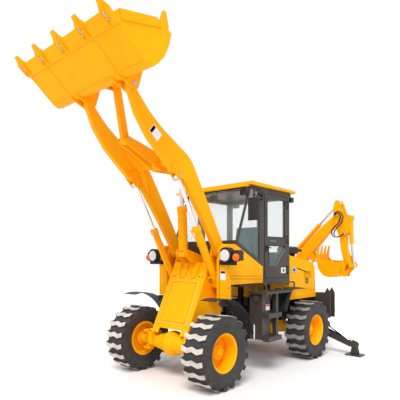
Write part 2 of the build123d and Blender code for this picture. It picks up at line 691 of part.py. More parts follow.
def loader_arms():
    """Two cranked arms joined by the cross tube, with eyes and lift lugs."""
    outline = [
        (1190, 4070), (1050, 3920), (950, 3825), (720, 3653), (420, 3487), (220, 3380),
        (113, 3277), (-234, 2723), (-594, 2115), (-648, 2010), (-480, 1925), (-367, 2110),
        (-90, 2510), (250, 2970), (540, 3120), (780, 3320), (980, 3500), (1180, 3763),
        (1255, 3935), (1315, 4060),
    ]
    arm = slab_y(outline, ARM_INNER_Y, ARM_OUTER_Y)
    for end, radius in (((348, 2965), 48), ((445, 3020), 60)):
        arm -= strap_y(LIFT_EYE, 60, end, radius, ARM_INNER_Y + 4, ARM_OUTER_Y - 4)
    arm += bar_y(BUCKET_PIVOT, ARM_INNER_Y - 10, ARM_OUTER_Y + 10, 72)
    arm += bar_y(ARM_PIVOT, 413, 555, 92)
    for y0, y1 in ((ARM_INNER_Y - 15, ARM_INNER_Y), (ARM_OUTER_Y, ARM_OUTER_Y + 15)):
        arm += strap_y(LIFT_EYE, 58, (450, 3160), 95, y0, y1)
    arm += bar_y(CRANK_PIVOT, 100, ARM_INNER_Y, 70)
    arms = both_sides(arm) + bar_y(CRANK_PIVOT, -101, 101, 70)
    arms -= bar_y(BUCKET_PIVOT, -600, 600, PIVOT_PIN + RUNNING)
    return arms - bar_y(ARM_PIVOT, -600, 600, PIVOT_PIN + RUNNING)


def barrel(base, tip, length, radius, rod_radius, eye_radius, pin, width, place):
    """A cylinder barrel with its base eye; place turns (u, z) and an offset into space."""
    start = between(base, tip, eye_radius - 12)
    end = between(base, tip, length)
    bottom = between(base, tip, eye_radius + 40)
    body = bar(place(start, 0), place(end, 0), radius)
    body -= bar(place(bottom, 0), place(between(base, tip, length + 5), 0), rod_radius + RUNNING)
    eye = bar(place(base, -width / 2), place(base, width / 2), eye_radius)
    hole = bar(place(base, -width), place(base, width), pin + RUNNING)
    return body + eye - hole


def piston_rod(base, tip, length, inside, radius, eye_radius, width, place):
    """A piston rod with the eye at its outer end."""
    start = between(base, tip, length - inside)
    end = between(base, tip, hypot(tip[0] - base[0], tip[1] - base[1]) - eye_radius + 10)
    rod = bar(place(start, 0), place(end, 0), radius)
    return rod + bar(place(tip, -width / 2), place(tip, width / 2), eye_radius)


def on_arm_plane(side):
    """Places for the lift cylinder of one side."""
    def place(point, offset):
        return (FRONT_AXLE_X + point[0], side * (ARM_MIDDLE_Y + offset), point[1])
    return place


def on_middle(point, offset):
    """Places for the tilt cylinder, in the machine's middle plane."""
    return (FRONT_AXLE_X + point[0], offset, point[1])


def on_hoe(point, offset):
    """Places for the backhoe's cylinders."""
    return (FRONT_AXLE_X + HOE_X + offset, KING_Y + point[0], point[1])


def on_leg(side):
    """Places for a stabiliser of one side."""
    def place(point, offset):
        return (FRONT_AXLE_X + LEG_X + offset, side * point[0], point[1])
    return place


def lift_barrels():
    """The two lift cylinder barrels."""
    pair = [
        barrel(LIFT_BASE, LIFT_EYE, LIFT_BARREL_LENGTH, LIFT_BARREL_RADIUS, LIFT_ROD_RADIUS, 58,
               SMALL_PIN, 110, on_arm_plane(side))
        for side in (1, -1)
    ]
    return Compound(children=pair)


def lift_rods():
    """The two lift piston rods."""
    pair = [
        piston_rod(LIFT_BASE, LIFT_EYE, LIFT_BARREL_LENGTH, LIFT_ROD_INSIDE, LIFT_ROD_RADIUS, 52,
                   66, on_arm_plane(side))
        for side in (1, -1)
    ]
    return Compound(children=pair)


def bellcrank():
    """Two cheek plates on the cross tube, with the link's pin at the front."""
    cheek = strap_y(CRANK_PIVOT, 115, CRANK_FRONT, 58, 55, 80)
    cheek += strap_y(CRANK_PIVOT, 115, CRANK_REAR, 62, 55, 80)
    cheek += bar_y(CRANK_FRONT, 80, 94, 40) + bar_y(CRANK_REAR, 80, 94, 40)
    crank = both_sides(cheek) + bar_y(CRANK_PIVOT, -92, 92, 112)
    return crank - bar_y(CRANK_PIVOT, -120, 120, 70 + RUNNING)


def bucket_link():
    """Link from the bellcrank up to the bucket."""
    link = strap_y(CRANK_FRONT, 55, LINK_TOP, 48, -32, 32)
    link += bar_y(CRANK_FRONT, -48, 48, 55) + bar_y(LINK_TOP, -48, 48, 48)
    return link - bar_y(LINK_TOP, -60, 60, SMALL_PIN + RUNNING)


def tilt_barrel():
    """Tilt cylinder barrel."""
    return barrel(TILT_BASE, CRANK_REAR, TILT_BARREL_LENGTH, TILT_BARREL_RADIUS, TILT_ROD_RADIUS,
                  58, SMALL_PIN, 130, on_middle)


def tilt_rod():
    """Tilt piston rod."""
    return piston_rod(TILT_BASE, CRANK_REAR, TILT_BARREL_LENGTH, TILT_ROD_INSIDE, TILT_ROD_RADIUS,
                      52, 92, on_middle)


def bucket_place(u, w):
    """Side-view place of a point given in the bucket's own frame."""
    x = BUCKET_PIVOT[0] + u * cos(BUCKET_ROLL) - w * sin(BUCKET_ROLL)
    z = BUCKET_PIVOT[1] + u * sin(BUCKET_ROLL) + w * cos(BUCKET_ROLL)
    return (x, z)


def bucket_outline(points):
    """Side-view outline from points in the bucket's frame."""
    return [bucket_place(u, w) for u, w in points]


def loader_bucket():
    """Open bucket: bent shell, side plates, teeth, ears and spill guard."""
    half, wall = BUCKET_HALF_WIDTH, BUCKET_WALL
    shell = [(840, -120), (220, -120), (150, -96), (100, -20), (86, 80), (82, 210), (124, 380),
             (200, 536), (446, 452)]
    bent = band(shell, -wall)
    bucket = slab_y(bucket_outline(bent), -half, half)
    inside = slab_y(bucket_outline(bent[len(shell):]), -half + wall, half - wall)
    side = [(813, -124), (220, -124), (148, -100), (97, -22), (82, 79), (78, 211), (121, 382),
            (198, 541), (447, 456), (796, -5)]
    bucket += both_sides(slab_y(bucket_outline(side), half - wall, half))
    lip = slab_y(bucket_outline([(694, -119), (880, -119), (880, -152), (694, -142)]), -half, half)
    bucket += lip
    tooth = [(770, -95), (880, -95), (1004, -124), (1004, -138), (880, -172), (770, -165)]
    for i in range(TOOTH_COUNT):
        y = (i - (TOOTH_COUNT - 1) / 2) * (half - 60) / 2
        bucket += slab_y(bucket_outline(tooth), y - 34, y + 34)
    horn = strap_y(bucket_place(330, 500), 80, bucket_place(413, 612), 38, half - wall, half)
    cutter = slab_y(bucket_outline([(796, -5), (447, 456), (330, 430), (700, -70)]), half, half + 10)
    bucket += both_sides(horn + cutter)
    ear = strap_y(BUCKET_PIVOT, 72, bucket_place(110, 330), 40, *BUCKET_EAR_Y[0])
    ear += strap_y(BUCKET_PIVOT, 72, bucket_place(190, -110), 28, *BUCKET_EAR_Y[0])
    ear += slab_y(bucket_outline([(0, 0), (110, 330), (190, -110)]), *BUCKET_EAR_Y[0])
    shift = BUCKET_EAR_Y[1][0] - BUCKET_EAR_Y[0][0]
    ear += Pos(0, shift, 0) * ear
    ear += bar_y(BUCKET_PIVOT, BUCKET_EAR_Y[0][0], BUCKET_EAR_Y[1][1], PIVOT_PIN)
    gusset = strap_y(LINK_TOP, 58, bucket_place(110, 330), 40, 55, 80)
    gusset += strap_y(LINK_TOP, 58, bucket_place(100, 90), 30, 55, 80)
    link_pin = bar_y(LINK_TOP, -92, 92, SMALL_PIN)
    beam = slab_y(bucket_outline([(40, 300), (100, 285), (128, 405), (70, 420)]), -553, 553)
    return bucket + (both_sides(ear + gusset) - inside) + (beam - inside) + link_pin


# ---------------------------------------------------------------- backhoe

def stabilizer_frame():
    """Frame across the machine's rear: two plates with the leg slots open between them."""
    outline = [(-1000, 690), (-1000, 1180), (-940, 1290), (-880, 1180), (-300, 1160), (300, 1160),
               (880, 1180), (940, 1290), (1000, 1180), (1000, 690), (880, 690), (560, 640),
               (480, 480), (360, 480), (300, 640), (-300, 640), (-360, 480), (-480, 480),
               (-560, 640), (-880, 690)]
    frame = slab_x(outline, -3422, -3402) + slab_x(outline, -3618, -3598)
    frame += block(-3600, -3420, -300, 300, 640, 660) + block(-3600, -3420, -290, 290, 1080, 1120)
    frame += block(-3600, -3420, -20, 20, 650, 1100)
    frame += block(-3652, -3610, -960, 960, 1070, 1130) + block(-3652, -3610, -960, 960, 700, 750)
    pins = []
    for side in (1, -1):
        place = on_leg(side)
        pins.append(bar(place(LEG_HINGE, -100), place(LEG_HINGE, 100), SMALL_PIN))
        pins.append(bar(place(LEG_BASE, -100), place(LEG_BASE, 100), SMALL_PIN))
    return frame + pins


def stabilizer_leg(side):
    """Leg of two plates with a bottom web and a foot pad."""
    place = on_leg(side)

    def strap(first, first_radius, second, second_radius, d0, d1):
        corners = hull_points(first, first_radius, second, second_radius)
        points = [(side * y, z) for y, z in corners]
        shape = slab_x(points, LEG_X + d0, LEG_X + d1)
        shape += bar(place(first, d0), place(first, d1), first_radius)
        return shape + bar(place(second, d0), place(second, d1), second_radius)

    leg = strap(LEG_HINGE, 62, LEG_FOOT, 52, 50, 65) + strap(LEG_HINGE, 62, LEG_FOOT, 52, -65, -50)
    web = [between(LEG_HINGE, LEG_FOOT, 200), between(LEG_HINGE, LEG_FOOT, 1000)]
    low = [(side * y, z - 52) for y, z in web]
    high = [(side * y, z - 64) for y, z in reversed(web)]
    leg += slab_x(low + high, LEG_X - 65, LEG_X + 65)
    leg += bar(place(LEG_FOOT, -65), place(LEG_FOOT, 65), SMALL_PIN)
    y0, y1 = side * (LEG_FOOT[0] - 150), side * (LEG_FOOT[0] + 150)
    pad = block(LEG_X - 120, LEG_X + 120, y0, y1, 0, 22)
    ear = [(side * (LEG_FOOT[0] - 80), 20), (side * (LEG_FOOT[0] + 80), 20),
           (side * (LEG_FOOT[0] + 35), LEG_FOOT[1] + 20), (side * (LEG_FOOT[0] - 35), LEG_FOOT[1] + 20)]
    pad += slab_x(ear, LEG_X - 40, LEG_X - 22) + slab_x(ear, LEG_X + 22, LEG_X + 40)
    leg += pad
    return leg - bar(place(LEG_HINGE, -90), place(LEG_HINGE, 90), SMALL_PIN + RUNNING)


LEG_BARREL_LENGTH = 640


def leg_barrel(side):
    """Barrel of a stabiliser cylinder."""
    return barrel(LEG_BASE, LEG_EYE, LEG_BARREL_LENGTH, 44, 24, 46, SMALL_PIN, 84, on_leg(side))


def leg_rod(side):
    """Piston rod of a stabiliser cylinder."""
    return piston_rod(LEG_BASE, LEG_EYE, LEG_BARREL_LENGTH, 110, 24, 32, 80, on_leg(side))


def shift_carriage():
    """Carriage that slides along the rails and carries the king post."""
    x0, x1 = -3700, -3662
    plate = block(x0, x1, KING_Y - 280, KING_Y + 280, 600, 1240)
    plate += block(-3662, -3622, KING_Y - 280, KING_Y + 280, 1130 + RUNNING, 1190)
    plate += block(-3662, -3622, KING_Y - 280, KING_Y + 280, 650, 700 - RUNNING)
    axis_x = HOE_X
    for z0, z1 in ((596, 638), (1022, 1062)):
        plate += block(axis_x, x1, KING_Y - 75, KING_Y + 75, z0, z1)
        plate += bar((FRONT_AXLE_X + axis_x, KING_Y, z0), (FRONT_AXLE_X + axis_x, KING_Y, z1), 75)
    for z in (638, 982):
        rib = [(x0, z), (x0 - 90, z), (x0, z + 40)]
        plate += slab_y(rib, KING_Y - 60, KING_Y - 40) + slab_y(rib, KING_Y + 40, KING_Y + 60)
    pin = bar((FRONT_AXLE_X + axis_x, KING_Y, 596), (FRONT_AXLE_X + axis_x, KING_Y, 1062), PIVOT_PIN)
    return plate + pin


def king_post():
    """Swing post with cheeks that hold the boom's foot and the boom cylinder."""
    x = FRONT_AXLE_X + HOE_X
    post = bar((x, KING_Y, 646), (x, KING_Y, 1014), 70)
    cheeks = None
    for d0, d1 in ((85, 107), (-107, -85)):
        cheek = hoe_slab([(0, 660), (0, 1000), (100, 1006), (108, 1150), (180, 1190), (262, 1150),
                          (330, 860), (330, 690), (280, 660)], d0, d1)
        cheeks = cheek if cheeks is None else cheeks + cheek
    post += cheeks
    post += hoe_slab([(0, 660), (0, 694), (230, 694), (230, 660)], -100, 100)
    post += hoe_slab([(0, 962), (0, 1000), (140, 1000), (140, 962)], -100, 100)
    post += hoe_bar(BOOM_FOOT, -115, 115, PIVOT_PIN) + hoe_bar(BOOM_BASE, -115, 115, SMALL_PIN)
    return post - bar((x, KING_Y, 600), (x, KING_Y, 1100), PIVOT_PIN + RUNNING)


BOOM_SECTIONS = [  # along the chord, rise of the centre line, depth
    (0, 0, 170), (250, 50, 205), (600, 98, 245), (1150, 100, 250), (1700, 60, 200), (2113, 0, 160),
]


def hoe_boom():
    """Cranked boom with lugs for the boom and dipper cylinders."""
    chord = Vector(DIPPER_PIVOT[0] - BOOM_FOOT[0], DIPPER_PIVOT[1] - BOOM_FOOT[1])
    along = chord.normalized()
    up = Vector(-along.Y, along.X)
    upper, lower = [], []
    for s, rise, depth in BOOM_SECTIONS:
        for edge, offset in ((upper, rise + depth / 2), (lower, rise - depth / 2)):
            point = Vector(*BOOM_FOOT) + along * s + up * offset
            edge.append((point.X, point.Y))
    boom = hoe_slab(upper + lower[::-1], -BOOM_HALF_THICK, BOOM_HALF_THICK)
    boom += hoe_bar(BOOM_FOOT, -BOOM_HALF_THICK - 5, BOOM_HALF_THICK + 5, 85)
    boom += hoe_bar(DIPPER_PIVOT, -BOOM_HALF_THICK - 3, BOOM_HALF_THICK + 3, 80)
    for d0, d1 in ((48, 66), (-66, -48)):
        boom += hoe_strap(DIPPER_BASE, 48, (680, 1960), 70, d0, d1)
        boom += hoe_strap(BOOM_EYE, 52, (900, 1990), 80, d0, d1)
    boom -= hoe_strap((921, 1897), 49, (959, 1925), 49, -46, 46)
    boom += hoe_bar(DIPPER_BASE, -72, 72, SMALL_PIN)
    boom -= hoe_bar(BOOM_FOOT, -200, 200, PIVOT_PIN + RUNNING)
    return boom - hoe_bar(DIPPER_PIVOT, -200, 200, PIVOT_PIN + RUNNING)


BOOM_BARREL_LENGTH = 800
DIPPER_BARREL_LENGTH = 780
CURL_BARREL_LENGTH = 550


def boom_barrel():
    """Barrel of the boom cylinder."""
    return barrel(BOOM_BASE, BOOM_EYE, BOOM_BARREL_LENGTH, 50, 30, 50, SMALL_PIN, 88, on_hoe)


def boom_rod():
    """Piston rod of the boom cylinder."""
    return piston_rod(BOOM_BASE, BOOM_EYE, BOOM_BARREL_LENGTH, 150, 30, 40, 84, on_hoe)


def dipper():
    """Dipper: two head cheeks, a box beam below them and the lugs of two cylinders."""
    head = None
    for d0, d1 in ((84, 100), (-100, -84)):
        cheek = hoe_slab([(1460, 3010), (1600, 3010), (1690, 2720), (1790, 2600), (1800, 2400),
                          (1560, 2360), (1450, 2700)], d0, d1)
        cheek += hoe_bar(DIPPER_EYE, d0, d1, 55)
        cheek += hoe_strap(CURL_BASE, 48, (1690, 2600), 90, d0, d1)
        head = cheek if head is None else head + cheek
    box = hoe_slab([(1560, 2440), (1700, 2470), (1704, 2100), (1752, 1930), (1768, 1800),
                    (1720, 1752), (1672, 1800), (1600, 2050)], -70, 70)
    collar = hoe_slab([(1562, 2440), (1699, 2470), (1712, 2370), (1572, 2340)], -100, 100)
    pins = hoe_bar(DIPPER_PIVOT, -112, 112, PIVOT_PIN) + hoe_bar(CURL_BASE, -105, 105, SMALL_PIN)
    pins += hoe_bar(DIPPER_EYE, -100, -48, 40) + hoe_bar(DIPPER_EYE, 48, 100, 40)
    pins += hoe_bar(LEVER_PIVOT, -128, 128, SMALL_PIN)
    arm = head + box + collar + pins
    return arm - hoe_bar(HOE_BUCKET_PIVOT, -200, 200, SMALL_PIN + RUNNING)


def dipper_barrel():
    """Barrel of the dipper cylinder."""
    return barrel(DIPPER_BASE, DIPPER_EYE, DIPPER_BARREL_LENGTH, 45, 26, 46, SMALL_PIN, 84, on_hoe)


def dipper_rod():
    """Piston rod of the dipper cylinder."""
    return piston_rod(DIPPER_BASE, DIPPER_EYE, DIPPER_BARREL_LENGTH, 130, 26, 42, 84, on_hoe)


def curl_barrel():
    """Barrel of the bucket cylinder."""
    return barrel(CURL_BASE, LEVER_END, CURL_BARREL_LENGTH, 42, 24, 44, SMALL_PIN, 84, on_hoe)


def curl_rod():
    """Piston rod of the bucket cylinder."""
    return piston_rod(CURL_BASE, LEVER_END, CURL_BARREL_LENGTH, 60, 24, 38, 50, on_hoe)


def curl_lever():
    """Two lever plates from the dipper to the bucket link."""
    lever = None
    for d0, d1 in ((104, 120), (-120, -104)):
        plate = hoe_strap(LEVER_PIVOT, 40, LEVER_END, 38, d0, d1)
        lever = plate if lever is None else lever + plate
    lever += hoe_bar(LEVER_END, 58, 120, 24) + hoe_bar(LEVER_END, -120, -58, 24)
    return lever - hoe_bar(LEVER_PIVOT, -200, 200, SMALL_PIN + RUNNING)


def curl_link():
    """Two link plates from the lever's end to the bucket."""
    link = None
    for d0, d1 in ((34, 50), (-50, -34)):
        plate = hoe_strap(LEVER_END, 38, HOE_LINK_PIN, 38, d0, d1)
        link = plate if link is None else link + plate
    link += hoe_bar(HOE_LINK_PIN, -50, 50, 38)
    return link - hoe_bar(HOE_LINK_PIN, -200, 200, SMALL_PIN + RUNNING)


def hoe_bucket():
    """Digging bucket: bent shell, side plates, ears and teeth."""
    half, wall = HOE_BUCKET_HALF_WIDTH, 14
    px, pz = HOE_BUCKET_PIVOT
    shell = [(px - 105, pz - 5), (px - 105, pz - 150), (px - 150, pz - 260), (px - 270, pz - 305),
             (px - 400, pz - 270), (px - 500, pz - 150), (px - 560, pz + 160)]
    bucket = hoe_slab(band(shell, wall), -half, half)
    side = shell + [(px - 480, pz + 40), (px - 250, pz + 20)]
    bucket += hoe_slab(side, half - wall, half) + hoe_slab(side, -half, -half + wall)
    for i in range(4):
        d = (i - 1.5) * (half * 2 - 70) / 3
        tooth = [(px - 540, pz + 60), (px - 572, pz + 110), (px - 560, pz + 200), (px - 520, pz + 350),
                 (px - 512, pz + 350), (px - 530, pz + 140)]
        bucket += hoe_slab(tooth, d - 28, d + 28)
    for d0, d1 in ((76, 96), (-96, -76)):
        ear = hoe_strap(HOE_BUCKET_PIVOT, 50, (px - 95, pz - 30), 60, d0, d1)
        ear += hoe_strap(HOE_LINK_PIN, 50, (px - 120, pz - 190), 60, d0, d1)
        ear += hoe_slab([HOE_BUCKET_PIVOT, HOE_LINK_PIN, (px - 120, pz - 190), (px - 95, pz - 30)],
                        d0, d1)
        bucket += ear - hoe_slab(shell + [(px - 480, pz + 140), (px - 120, pz + 140)], d0, d1)
    bucket += hoe_bar(HOE_BUCKET_PIVOT, -96, 96, SMALL_PIN) + hoe_bar(HOE_LINK_PIN, -96, 96, SMALL_PIN)
    return bucket


def tie_down_eyes():
    """Lashing eyes on the stabiliser frame."""
    eye = block(-3652, -3618 - SEAT, 900, 990, 780, 880)
    eye -= bar((FRONT_AXLE_X - 3700, 945, 830), (FRONT_AXLE_X - 3600, 945, 830), 22)
    return both_sides(eye)


# ---------------------------------------------------------------- all pieces

def all_parts():
    """Every node's name with its shape."""
    one_tyre, one_rim = tyre(), rim()
    parts = {
        "chassis_frame": chassis_frame(), "loader_tower": loader_tower(),
        "front_axle": front_axle(), "rear_axle": rear_axle(), "fenders": fenders(),
        "engine_block": engine_block(), "engine_hood": engine_hood(), "muffler": muffler(),
        "cab_frame": cab_frame(), "cab_glass": cab_glass(), "cab_roof": cab_roof(),
        "cab_door": cab_door(), "door_glass": door_glass(), "operator_seat": operator_seat(),
        "control_console": control_console(), "side_cowls": side_cowls(),
        "headlamps": headlamps(), "mirrors": mirrors_and_work_lamps(),
        "side_steps": side_steps(), "fuel_tank": fuel_tank(),
        "loader_arms": loader_arms(), "lift_barrels": lift_barrels(), "lift_rods": lift_rods(),
        "bellcrank": bellcrank(), "bucket_link": bucket_link(), "tilt_barrel": tilt_barrel(),
        "tilt_rod": tilt_rod(), "loader_bucket": loader_bucket(),
        "stabilizer_frame": stabilizer_frame(), "tie_down_eyes": tie_down_eyes(),
        "shift_carriage": shift_carriage(), "king_post": king_post(), "hoe_boom": hoe_boom(),
        "boom_barrel": boom_barrel(), "boom_rod": boom_rod(), "dipper": dipper(),
        "dipper_barrel": dipper_barrel(), "dipper_rod": dipper_rod(),
        "curl_barrel": curl_barrel(), "curl_rod": curl_rod(), "curl_lever": curl_lever(),
        "curl_link": curl_link(), "hoe_bucket": hoe_bucket(),
    }
    for name, side in (("left", 1), ("right", -1)):
        parts["knuckle_" + name] = knuckle(side)
        parts["leg_" + name] = stabilizer_leg(side)
        parts["leg_barrel_" + name] = leg_barrel(side)
        parts["leg_rod_" + name] = leg_rod(side)
        for axle, axle_x in (("front", 0), ("rear", REAR_AXLE_X)):
            parts[f"tyre_{axle}_{name}"] = at_wheel(one_tyre, axle_x, side)
            parts[f"rim_{axle}_{name}"] = at_wheel(one_rim, axle_x, side)
    return parts


def main():
    os.makedirs("parts", exist_ok=True)
    for name, shape in all_parts().items():
        export_step(shape, f"parts/{name}.step")


if __name__ == "__main__":
    main()
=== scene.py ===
import json
import math

import bmesh
import bpy
from mathutils import Matrix, Vector


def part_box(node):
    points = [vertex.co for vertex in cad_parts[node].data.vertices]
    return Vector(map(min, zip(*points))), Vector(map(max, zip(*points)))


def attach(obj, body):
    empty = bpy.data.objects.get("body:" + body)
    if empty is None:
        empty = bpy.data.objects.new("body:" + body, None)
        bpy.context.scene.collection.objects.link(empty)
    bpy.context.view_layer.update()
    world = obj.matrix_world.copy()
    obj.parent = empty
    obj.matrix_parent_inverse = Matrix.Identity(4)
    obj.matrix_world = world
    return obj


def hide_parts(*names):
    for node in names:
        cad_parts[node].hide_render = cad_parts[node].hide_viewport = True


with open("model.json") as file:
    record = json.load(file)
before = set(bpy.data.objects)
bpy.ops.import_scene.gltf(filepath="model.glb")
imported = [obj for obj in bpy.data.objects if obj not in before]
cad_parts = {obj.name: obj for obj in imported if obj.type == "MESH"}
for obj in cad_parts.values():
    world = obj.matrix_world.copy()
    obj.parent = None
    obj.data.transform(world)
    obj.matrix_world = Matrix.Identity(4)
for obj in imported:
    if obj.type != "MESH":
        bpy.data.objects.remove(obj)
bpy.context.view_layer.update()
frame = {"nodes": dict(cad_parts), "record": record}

# Places are in metres in the machine's frame: x forward, y to its left, z up.
# Side-view places are (x, z) with x counted from the front axle, as in the CAD source.

NODES = frame["nodes"]
AXLE_X = (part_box("rim_front_left")[0].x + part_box("rim_front_left")[1].x) / 2


# ---------------------------------------------------------------- materials

def new_material(name):
    mat = bpy.data.materials.new(name)
    mat.use_nodes = True
    tree = mat.node_tree
    return mat, tree, tree.nodes["Principled BSDF"]


def node(tree, kind, **values):
    """A node with its properties and input values set by name."""
    made = tree.nodes.new(kind)
    for key, value in values.items():
        if key in made.inputs.keys():
            made.inputs[key].default_value = value
        else:
            setattr(made, key, value)
    return made


def object_coords(tree):
    return node(tree, "ShaderNodeTexCoord").outputs["Object"]


def noise(tree, scale, detail=3.0, rough=0.55):
    made = node(tree, "ShaderNodeTexNoise", Scale=scale, Detail=detail, Roughness=rough)
    tree.links.new(object_coords(tree), made.inputs["Vector"])
    return made.outputs["Fac"]


def ramp(tree, source, stops):
    """A smooth colour ramp over a noise; stops are (place, colour)."""
    made = node(tree, "ShaderNodeValToRGB")
    points = made.color_ramp.elements
    while len(points) < len(stops):
        points.new(0.5)
    for element, (place, colour) in zip(points, stops):
        element.position = place
        element.color = colour if len(colour) == 4 else (*colour, 1)
    tree.links.new(source, made.inputs["Fac"])
    return made.outputs["Color"]


def grey(value):
    return (value, value, value)


def mix(tree, factor, first, second):
    """Mixes two colours, each a socket or a plain colour."""
    made = node(tree, "ShaderNodeMix", data_type="RGBA")
    for key, value in ((0, factor), (6, first), (7, second)):
        if isinstance(value, bpy.types.NodeSocket):
            tree.links.new(value, made.inputs[key])
        else:
            made.inputs[key].default_value = value if key == 0 or len(value) == 4 else (*value, 1)
    return made.outputs[2]


def math_node(tree, operation, first, second=0.0, clamp=False):
    made = node(tree, "ShaderNodeMath", operation=operation, use_clamp=clamp)
    for key, value in ((0, first), (1, second)):
        if isinstance(value, bpy.types.NodeSocket):
            tree.links.new(value, made.inputs[key])
        else:
            made.inputs[key].default_value = value
    return made.outputs[0]


def bevelled_normal(tree, radius, bump=None, strength=0.1, distance=0.002):
    """A normal that is rounded at the edges, with a fine bump over it."""
    edge = node(tree, "ShaderNodeBevel", samples=4, Radius=radius)
    if bump is None:
        return edge.outputs["Normal"], edge
    made = node(tree, "ShaderNodeBump", Strength=strength, Distance=distance)
    tree.links.new(bump, made.inputs["Height"])
    tree.links.new(edge.outputs["Normal"], made.inputs["Normal"])
    return made.outputs["Normal"], edge


def edge_mask(tree, edge):
    """1 at the edges, 0 on the flats."""
    geometry = node(tree, "ShaderNodeNewGeometry")
    dot = node(tree, "ShaderNodeVectorMath", operation="DOT_PRODUCT")
    tree.links.new(geometry.outputs["Normal"], dot.inputs[0])
    tree.links.new(edge.outputs["Normal"], dot.inputs[1])
    lost = math_node(tree, "SUBTRACT", 1.0, dot.outputs["Value"])
    return math_node(tree, "MULTIPLY", lost, 5.0, clamp=True)


def paint(name, colour, dark, worn, rough=0.46, specular=0.16, radius=0.006):
    """Machine paint: slow colour drift, fine orange peel and paler, chipped edges."""
    mat, tree, shader = new_material(name)
    drift = ramp(tree, noise(tree, 1.7, 4.0), [(0.3, dark), (0.7, colour)])
    normal, edge = bevelled_normal(tree, radius, noise(tree, 160.0, 2.0), 0.05, 0.001)
    chips = ramp(tree, noise(tree, 42.0, 5.0, 0.7), [(0.5, grey(0.0)), (0.66, grey(1.0))])
    wear = math_node(tree, "MULTIPLY", edge_mask(tree, edge), chips)
    base = mix(tree, math_node(tree, "MULTIPLY", wear, 0.45), drift, worn)
    tree.links.new(base, shader.inputs["Base Color"])
    rough_noise = ramp(tree, noise(tree, 6.0, 5.0), [(0.3, grey(rough - 0.07)), (0.75, grey(rough + 0.1))])
    tree.links.new(rough_noise, shader.inputs["Roughness"])
    tree.links.new(normal, shader.inputs["Normal"])
    shader.inputs["Specular IOR Level"].default_value = specular
    return mat


def metal(name, colour, rough, grain=90.0):
    mat, tree, shader = new_material(name)
    tint = ramp(tree, noise(tree, grain, 3.0), [(0.3, tuple(c * 0.86 for c in colour)), (0.7, colour)])
    tree.links.new(tint, shader.inputs["Base Color"])
    shader.inputs["Metallic"].default_value = 1.0
    spread = ramp(tree, noise(tree, grain * 2.1, 2.0), [(0.3, grey(rough * 0.7)), (0.7, grey(rough * 1.3))])
    tree.links.new(spread, shader.inputs["Roughness"])
    normal, _ = bevelled_normal(tree, 0.003)
    tree.links.new(normal, shader.inputs["Normal"])
    return mat


def rubber(name, colour, dust, amount=0.5, rough=0.75, scale=9.0, bump=0.25):
    """Rubber with dust lying on it."""
    mat, tree, shader = new_material(name)
    lying = ramp(tree, noise(tree, scale, 6.0, 0.65), [(0.35, grey(0.0)), (0.75, grey(1.0))])
    base = mix(tree, math_node(tree, "MULTIPLY", lying, amount), colour, dust)
    tree.links.new(base, shader.inputs["Base Color"])
    shader.inputs["Roughness"].default_value = rough
    shader.inputs["Specular IOR Level"].default_value = 0.3
    normal, _ = bevelled_normal(tree, 0.005, noise(tree, 130.0, 4.0), bump, 0.002)
    tree.links.new(normal, shader.inputs["Normal"])
    return mat


def clear(name, colour, alpha, rough=0.03):
    mat, tree, shader = new_material(name)
    streaks = ramp(tree, noise(tree, 3.0, 4.0), [(0.3, tuple(c * 0.92 for c in colour)), (0.7, colour)])
    tree.links.new(streaks, shader.inputs["Base Color"])
    shader.inputs["Roughness"].default_value = rough
    shader.inputs["Alpha"].default_value = alpha
    shader.inputs["IOR"].default_value = 1.3
    return mat


YELLOW = paint("yellow_paint", (1.0, 0.445, 0.0), (1.0, 0.405, 0.0), (1.0, 0.52, 0.03), 0.5, 0.1)
# Painted shade: a dark orange for thin lines along the panel creases, standing in for the shade that falls in
# the folds.
CREASE_SHADE = paint("seam_shade", (0.42, 0.15, 0.0), (0.36, 0.12, 0.0), (0.5, 0.2, 0.02), 0.6)
DARK = paint("dark_paint", (0.06, 0.05, 0.041), (0.045, 0.038, 0.032), (0.16, 0.14, 0.12), 0.4, 0.3)
BLACK = paint("black_paint", (0.022, 0.023, 0.027), (0.014, 0.014, 0.017), (0.07, 0.07, 0.08), 0.36)
GREY = paint("grey_paint", (0.2, 0.19, 0.185), (0.15, 0.145, 0.14), (0.35, 0.34, 0.33), 0.45)
IRON = paint("engine_iron", (0.09, 0.09, 0.092), (0.06, 0.06, 0.062), (0.2, 0.2, 0.2), 0.6)
CHROME = metal("rod_chrome", (0.86, 0.83, 0.82), 0.1)
STEEL = metal("bare_steel", (0.55, 0.54, 0.53), 0.35)
PLASTIC = rubber("black_plastic", (0.018, 0.018, 0.02), (0.06, 0.058, 0.055), 0.35, 0.5, 14.0, 0.12)
SIDEWALL = rubber("tyre_sidewall", (0.035, 0.033, 0.032), (0.1, 0.09, 0.08), 0.45)
LUGS_FRONT = rubber("lug_faces_front", (0.5, 0.45, 0.4), (0.8, 0.74, 0.68), 0.8, 0.85, 7.0)
LUGS_REAR = rubber("lug_faces_rear", (0.23, 0.22, 0.21), (0.42, 0.4, 0.385), 0.7, 0.8, 7.0)
HOSE = rubber("hose_rubber", (0.02, 0.02, 0.024), (0.06, 0.055, 0.05), 0.3, 0.5, 20.0, 0.1)
CLOTH = rubber("seat_cloth", (0.07, 0.16, 0.165), (0.12, 0.24, 0.24), 0.6, 0.9, 60.0, 0.4)
GLASS = clear("cab_glass", (0.7, 0.87, 0.88), 0.1)
LABEL = rubber("label_white", (0.86, 0.86, 0.88), (0.78, 0.78, 0.8), 0.4, 0.4, 12.0, 0.02)
RED = rubber("label_red", (0.75, 0.02, 0.015), (0.62, 0.015, 0.012), 0.4, 0.4, 12.0, 0.02)
COVER = paint("cover_paint", (1.0, 0.56, 0.09), (1.0, 0.53, 0.07), (1.0, 0.62, 0.15), 0.34)
AMBER = clear("amber_lens", (1.0, 0.16, 0.005), 1.0, 0.2)
LENS = clear("lamp_lens", (0.95, 0.95, 0.93), 0.35, 0.08)

